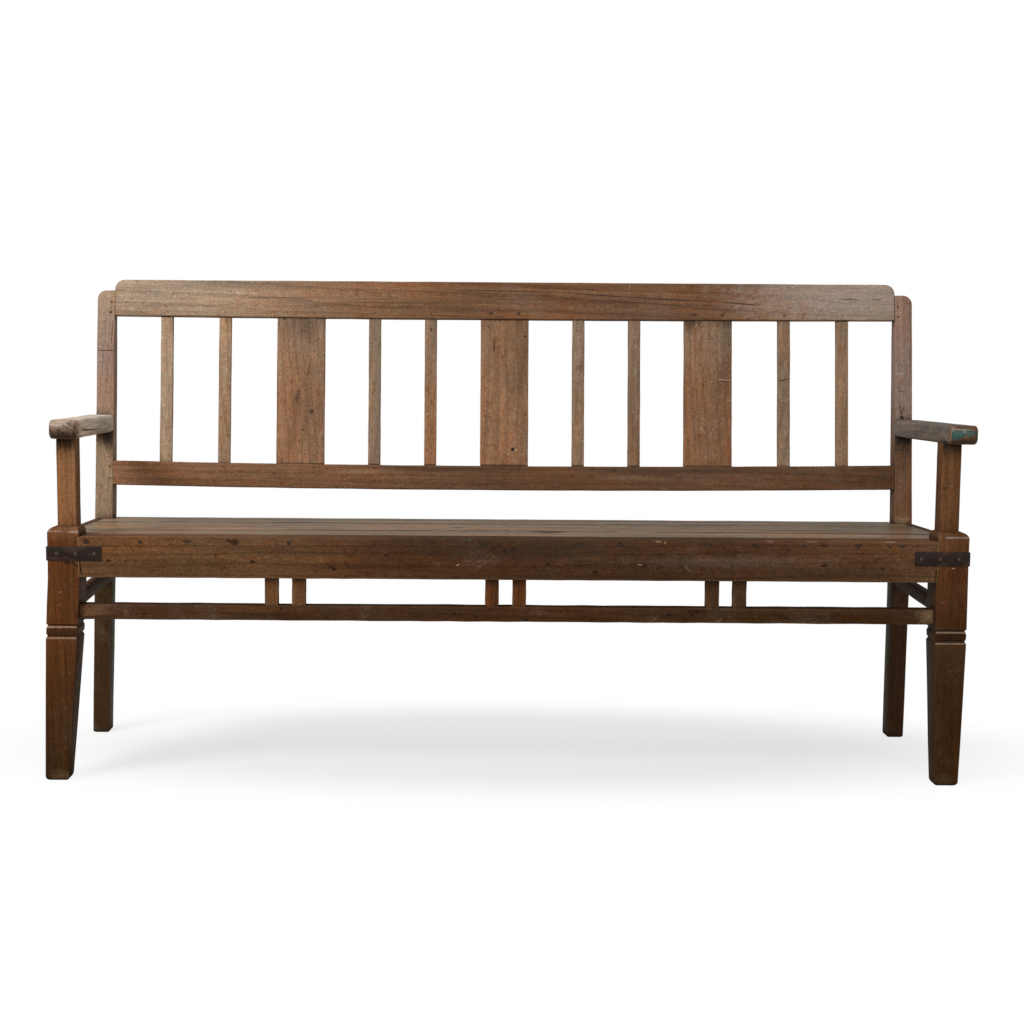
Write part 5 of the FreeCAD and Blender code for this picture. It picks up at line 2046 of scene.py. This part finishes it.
@dataclass
class Ironwork:
    """The corner straps and everything that is driven in: nails, pins and pegs."""

    frame: Frame
    back: Back
    strap: Pair = (417.0, 442.5)
    strap_reach: float = 99.5
    strap_thickness: float = 2.0
    nails: Sequence[float] = (18.5, 53.0, 87.5)
    apron_nails: Sequence[float] = APRON_NAILS
    apron_height: float = 452.5
    uprights: Sequence[float] = UPRIGHT_PLACES
    pin_spread: float = 29.0
    seat_rows: Sequence[float] = (-824.0, -420.0, 0.0, 420.0, 824.0)
    seat_lines: Sequence[float] = (78.0, 106.0, 180.0, 308.0, 338.0, 378.5)
    crest_pegs: Pair = (424.9, 444.9)
    lower_pegs: Pair = (77.2, 101.2)

    def build(self) -> None:
        """Make all of them."""
        for side, name in ((-1, "left"), (1, "right")):
            self._strap(side, name)
        self._strap_nails()
        self._flush_nails()

    def _strap(self, side: int, name: str) -> None:
        """Make one strap, bent round the corner.

        Args:
            side: -1 for left and 1 for right.
            name: The side's name.
        """
        corner = self.frame.half_length
        thick = self.strap_thickness
        xs = sorted((side * (corner - self.strap_reach), side * (corner + thick)))
        low, high = self.strap
        piece = Workpiece(f"strap_{name}", (xs[0], -thick, low), (xs[1], 0.05, high))
        piece.cut(0, [side * corner])
        piece.pull(
            lambda face: at(face)[1] > 0 and abs(at(face)[0]) > corner and abs(face.normal.y) > 0.9,
            (0.0, self.strap_reach - 0.05, 0.0),
        )
        piece.cut(0, [side * (corner - 25.0 * number) for number in range(1, 4)])
        piece.cut(1, [25.0, 50.0, 75.0])
        piece.soften(
            lambda edge: is_arris(edge) and abs(at(edge)[0]) > corner + thick - 0.1
            and at(edge)[1] < -thick + 0.1,
            2.0, 3,
        )
        piece.soften(lambda edge: is_arris(edge) and at(edge)[1] < -thick + 0.4, 0.5, 2)
        finish = STRAP_IRON.dress(name, 5 + side)
        hand_over(piece.place(), finish, "strap_iron", f"corner_strap_{name}")

    @staticmethod
    def _dome(name: str, radius: float, rise: float) -> bpy.types.Object:
        """Model one domed nail head that stands on the plane Y = 0 and looks to the front."""
        bpy.ops.object.select_all(action="DESELECT")
        bpy.ops.mesh.primitive_uv_sphere_add(segments=14, ring_count=8, radius=radius * MM)
        head = bpy.context.active_object
        head.name = name
        head.rotation_euler = (math.radians(90), 0.0, 0.0)
        head.scale = (1.0, 1.0, rise / radius)
        bpy.ops.object.transform_apply(location=True, rotation=True, scale=True)
        bpy.ops.object.shade_smooth()
        return head

    def _strap_nails(self) -> None:
        """Make the nails of both straps."""
        head = self._dome("strap_nails", 3.8, 1.9)
        corner = self.frame.half_length
        middle = sum(self.strap) / 2
        face = self.strap_thickness
        places = []
        for side in (-1, 1):
            for along in self.nails:
                spot = Vector((side * (corner - along), -face, middle)) * MM
                places.append(Matrix.Translation(spot))
                spot = Vector((side * (corner + face), along, middle)) * MM
                outwards = Matrix.Rotation(math.radians(90 * side), 4, "Z")
                places.append(Matrix.Translation(spot) @ outwards)
        hand_over(copies(head, places), RUBBED_IRON.dress("strap", 3), "nail_iron", "strap_nails")

    def _flush_nails(self) -> None:
        """Make the heads that lie nearly level with the wood."""
        row = [(x, 0.3, self.apron_height) for x in self.apron_nails]
        self._row("apron_nails", 2.7, row, NAIL_IRON.dress("apron", 8), "nail_iron", "apron_nails")
        pins = [(x, 0.2, self.frame.apron_bottom + 6.5) for x in self.uprights]
        finish = NAIL_IRON.dress("pins", 9)
        self._row("upright_pins", 1.8, pins, finish, "nail_iron", "upright_pins")
        self._seat_nails()
        self._back_pins()

    def _row(
        self,
        name: str,
        radius: float,
        places: Sequence[Triple],
        material: bpy.types.Material,
        slot: str,
        node: str,
        turn: Matrix | None = None,
    ) -> None:
        """Set a row of flat heads.

        Args:
            name: The row's name.
            radius: The heads' radius.
            places: Their middles.
            material: Their material.
            slot: The record's slot.
            node: The node that they stand for.
            turn: The matrix that turns the whole row.
        """
        head = self._dome(name, radius, 0.7)
        whole = turn or Matrix.Identity(4)
        matrices = [whole @ Matrix.Translation(Vector(place) * MM) for place in places]
        hand_over(copies(head, matrices), material, slot, node)

    def _seat_nails(self) -> None:
        """Set the nails of the seat boards, which look up."""
        frame = self.frame
        head = self._dome("seat_nails", 2.7, 0.6)
        up = Matrix.Rotation(math.radians(-90), 4, "X")
        places = []
        for x in self.seat_rows:
            for y in self.seat_lines:
                spot = Vector((x, y, frame.seat(y) - 0.2)) * MM
                places.append(Matrix.Translation(spot) @ up)
        hand_over(copies(head, places), NAIL_IRON.dress("seat", 4), "nail_iron", "seat_nails")

    def _back_pins(self) -> None:
        """Set the pins and pegs of the back, on its leaning front plane."""
        frame, back = self.frame, self.back
        side = frame.post_inner
        middles = list(SLAT_PLACES)
        for splat in back.splats:
            middles += [splat - self.pin_spread, splat + self.pin_spread]
        hang = [(x, 1 - (x / side) ** 2) for x in middles]
        crest = [(x, 0.2, back.crest[0] - back.crest_belly * share + 10.5) for x, share in hang]
        lower = [(x, 0.2, back.lower[1] - back.sag * share - 6.0) for x, share in hang]
        dark = dressed("back_pins")
        self._row("crest_pins", 1.7, crest, dark, "peg_wood", "crest_slat_pins", frame.turn)
        self._row("lower_pins", 1.7, lower, dark, "peg_wood", "lower_rail_slat_pins", frame.turn)
        for name, levels in (("crest_pegs", self.crest_pegs), ("lower_rail_pegs", self.lower_pegs)):
            spots = [(end * (side + 6.5), 0.2, level) for end in (-1, 1) for level in levels]
            self._row(name, 2.9, spots, dark, "peg_wood", name, frame.turn)


LAMPS: tuple[tuple[str, Triple, Triple, Pair, float], ...] = (
    ("key", (-2.5, -2.2, 2.5), (-0.2, 0.0, 0.5), (1.6, 1.3), 104.0),
    ("fill", (1.0, -3.5, 1.3), (0.1, 0.0, 0.4), (2.2, 1.6), 42.0),
    ("top", (-0.3, 0.5, 3.2), (0.0, 0.0, 0.3), (3.0, 1.4), 40.0),
)


@dataclass
class Studio:
    """The pale floor, the soft lights and the camera."""

    camera_place: Triple = (-78.2, -2957.8, 809.4)
    yaw: float = 0.07
    pitch: float = -5.745
    roll: float = 0.381
    focal: float = 1617.0
    principal: Pair = (468.1, 512.0)
    image: int = 1024
    white: tuple[float, ...] = (1.0, 1.0, 1.0, 1.0)
    air: tuple[float, ...] = (1.0, 0.96, 0.90, 1.0)
    air_strength: float = 0.25
    paper: Colour = (0.93, 0.93, 0.93)
    paper_bounce: Colour = (0.50, 0.46, 0.41)

    def build(self) -> None:
        """Set up the whole studio."""
        self._camera()
        self._lights()
        self._floor()
        bpy.context.scene.view_settings.view_transform = "Standard"

    def _camera(self) -> None:
        """Place the camera where the photographer stood."""
        data = bpy.data.cameras.new("camera")
        camera = bpy.data.objects.new("camera", data)
        bpy.context.scene.collection.objects.link(camera)
        yaw, pitch, roll = (math.radians(value) for value in (self.yaw, self.pitch, self.roll))
        forward = Vector((
            math.sin(yaw) * math.cos(pitch), math.cos(yaw) * math.cos(pitch), math.sin(pitch)
        ))
        right = Vector((math.cos(yaw), -math.sin(yaw), 0.0))
        above = right.cross(forward)
        tilted_right = math.cos(roll) * right + math.sin(roll) * above
        tilted_up = math.cos(roll) * above - math.sin(roll) * right
        axes = Matrix((tilted_right, tilted_up, -forward)).transposed()
        place = Vector(self.camera_place) * MM + PLAN_TO_FRAME
        camera.matrix_world = Matrix.Translation(place) @ axes.to_4x4()
        data.sensor_width = 36.0
        data.lens = self.focal / self.image * data.sensor_width
        data.shift_x = (self.image / 2 - self.principal[0]) / self.image
        data.shift_y = (self.principal[1] - self.image / 2) / self.image
        bpy.context.scene.camera = camera

    @staticmethod
    def _lamp(name: str, place: Triple, target: Triple, size: Pair, power: float) -> None:
        """Hang one soft lamp.

        Args:
            name: Its name.
            place: Where it hangs, in metres of the frame.
            target: Where it points.
            size: Its width and height.
            power: Its power in watts.
        """
        data = bpy.data.lights.new(name, "AREA")
        data.shape = "RECTANGLE"
        data.size, data.size_y = size
        data.energy = power
        lamp = bpy.data.objects.new(name, data)
        bpy.context.scene.collection.objects.link(lamp)
        look = (Vector(target) - Vector(place)).to_track_quat("-Z", "Y")
        lamp.matrix_world = Matrix.Translation(place) @ look.to_matrix().to_4x4()

    def _lights(self) -> None:
        """Hang the lamps and light the air."""
        for lamp in LAMPS:
            self._lamp(*lamp)
        world = bpy.data.worlds.new("studio")
        graph = Graph(world)
        path = graph.add("ShaderNodeLightPath").outputs["Is Camera Ray"]
        air = graph.add("ShaderNodeBackground", None, {0: self.air, 1: self.air_strength})
        white = graph.add("ShaderNodeBackground", None, {0: self.white, 1: 1.0})
        sockets = {0: path, 1: air.outputs[0], 2: white.outputs[0]}
        mix = graph.add("ShaderNodeMixShader", None, sockets)
        graph.add("ShaderNodeOutputWorld", None, {"Surface": mix.outputs[0]})
        bpy.context.scene.world = world

    def _floor(self) -> None:
        """Lay the pale floor, which fades into the white of the studio."""
        bpy.ops.object.select_all(action="DESELECT")
        bpy.ops.mesh.primitive_circle_add(vertices=96, radius=14.0, fill_type="NGON")
        floor = bpy.context.active_object
        floor.name = "studio_floor"
        graph = Graph(bpy.data.materials.new("studio_floor"))
        spot = graph.spot().scaled((1.0, 1.0, 0.0))
        far = spot.reach((0.0, 0.06, 0.0), (1.3, 0.48, 1.0)).between(0.45, 1.0)
        path = graph.add("ShaderNodeLightPath")
        seen = Number(graph, path.outputs["Is Camera Ray"])
        paper = graph.colour(self.paper_bounce).mix(self.paper, seen)
        matt = graph.add("ShaderNodeBsdfDiffuse", None, {"Color": paper})
        glow = graph.add("ShaderNodeEmission", None, {"Color": self.white})
        share = (far * 0.4 + 0.6) * seen
        sockets = {0: share, 1: matt.outputs[0], 2: glow.outputs[0]}
        mix = graph.add("ShaderNodeMixShader", None, sockets)
        graph.add("ShaderNodeOutputMaterial", None, {"Surface": mix.outputs[0]})
        floor.data.materials.append(graph.owner)


def main() -> None:
    """Build the bench and its studio, and report each piece."""
    logging.basicConfig(level=logging.INFO, format="%(name)s %(message)s")
    sizes = Frame()
    back = Back(sizes)
    Studio().build()
    for assembly in (
        FrontLegs(sizes), BackPosts(sizes), back, Arms(sizes),
        SeatFrame(sizes), SeatBoards(sizes), Stretchers(sizes), Ironwork(sizes, back),
    ):
        LOG.info("making %s", type(assembly).__name__)
        assembly.build()


if __name__ == "__main__":
    main()
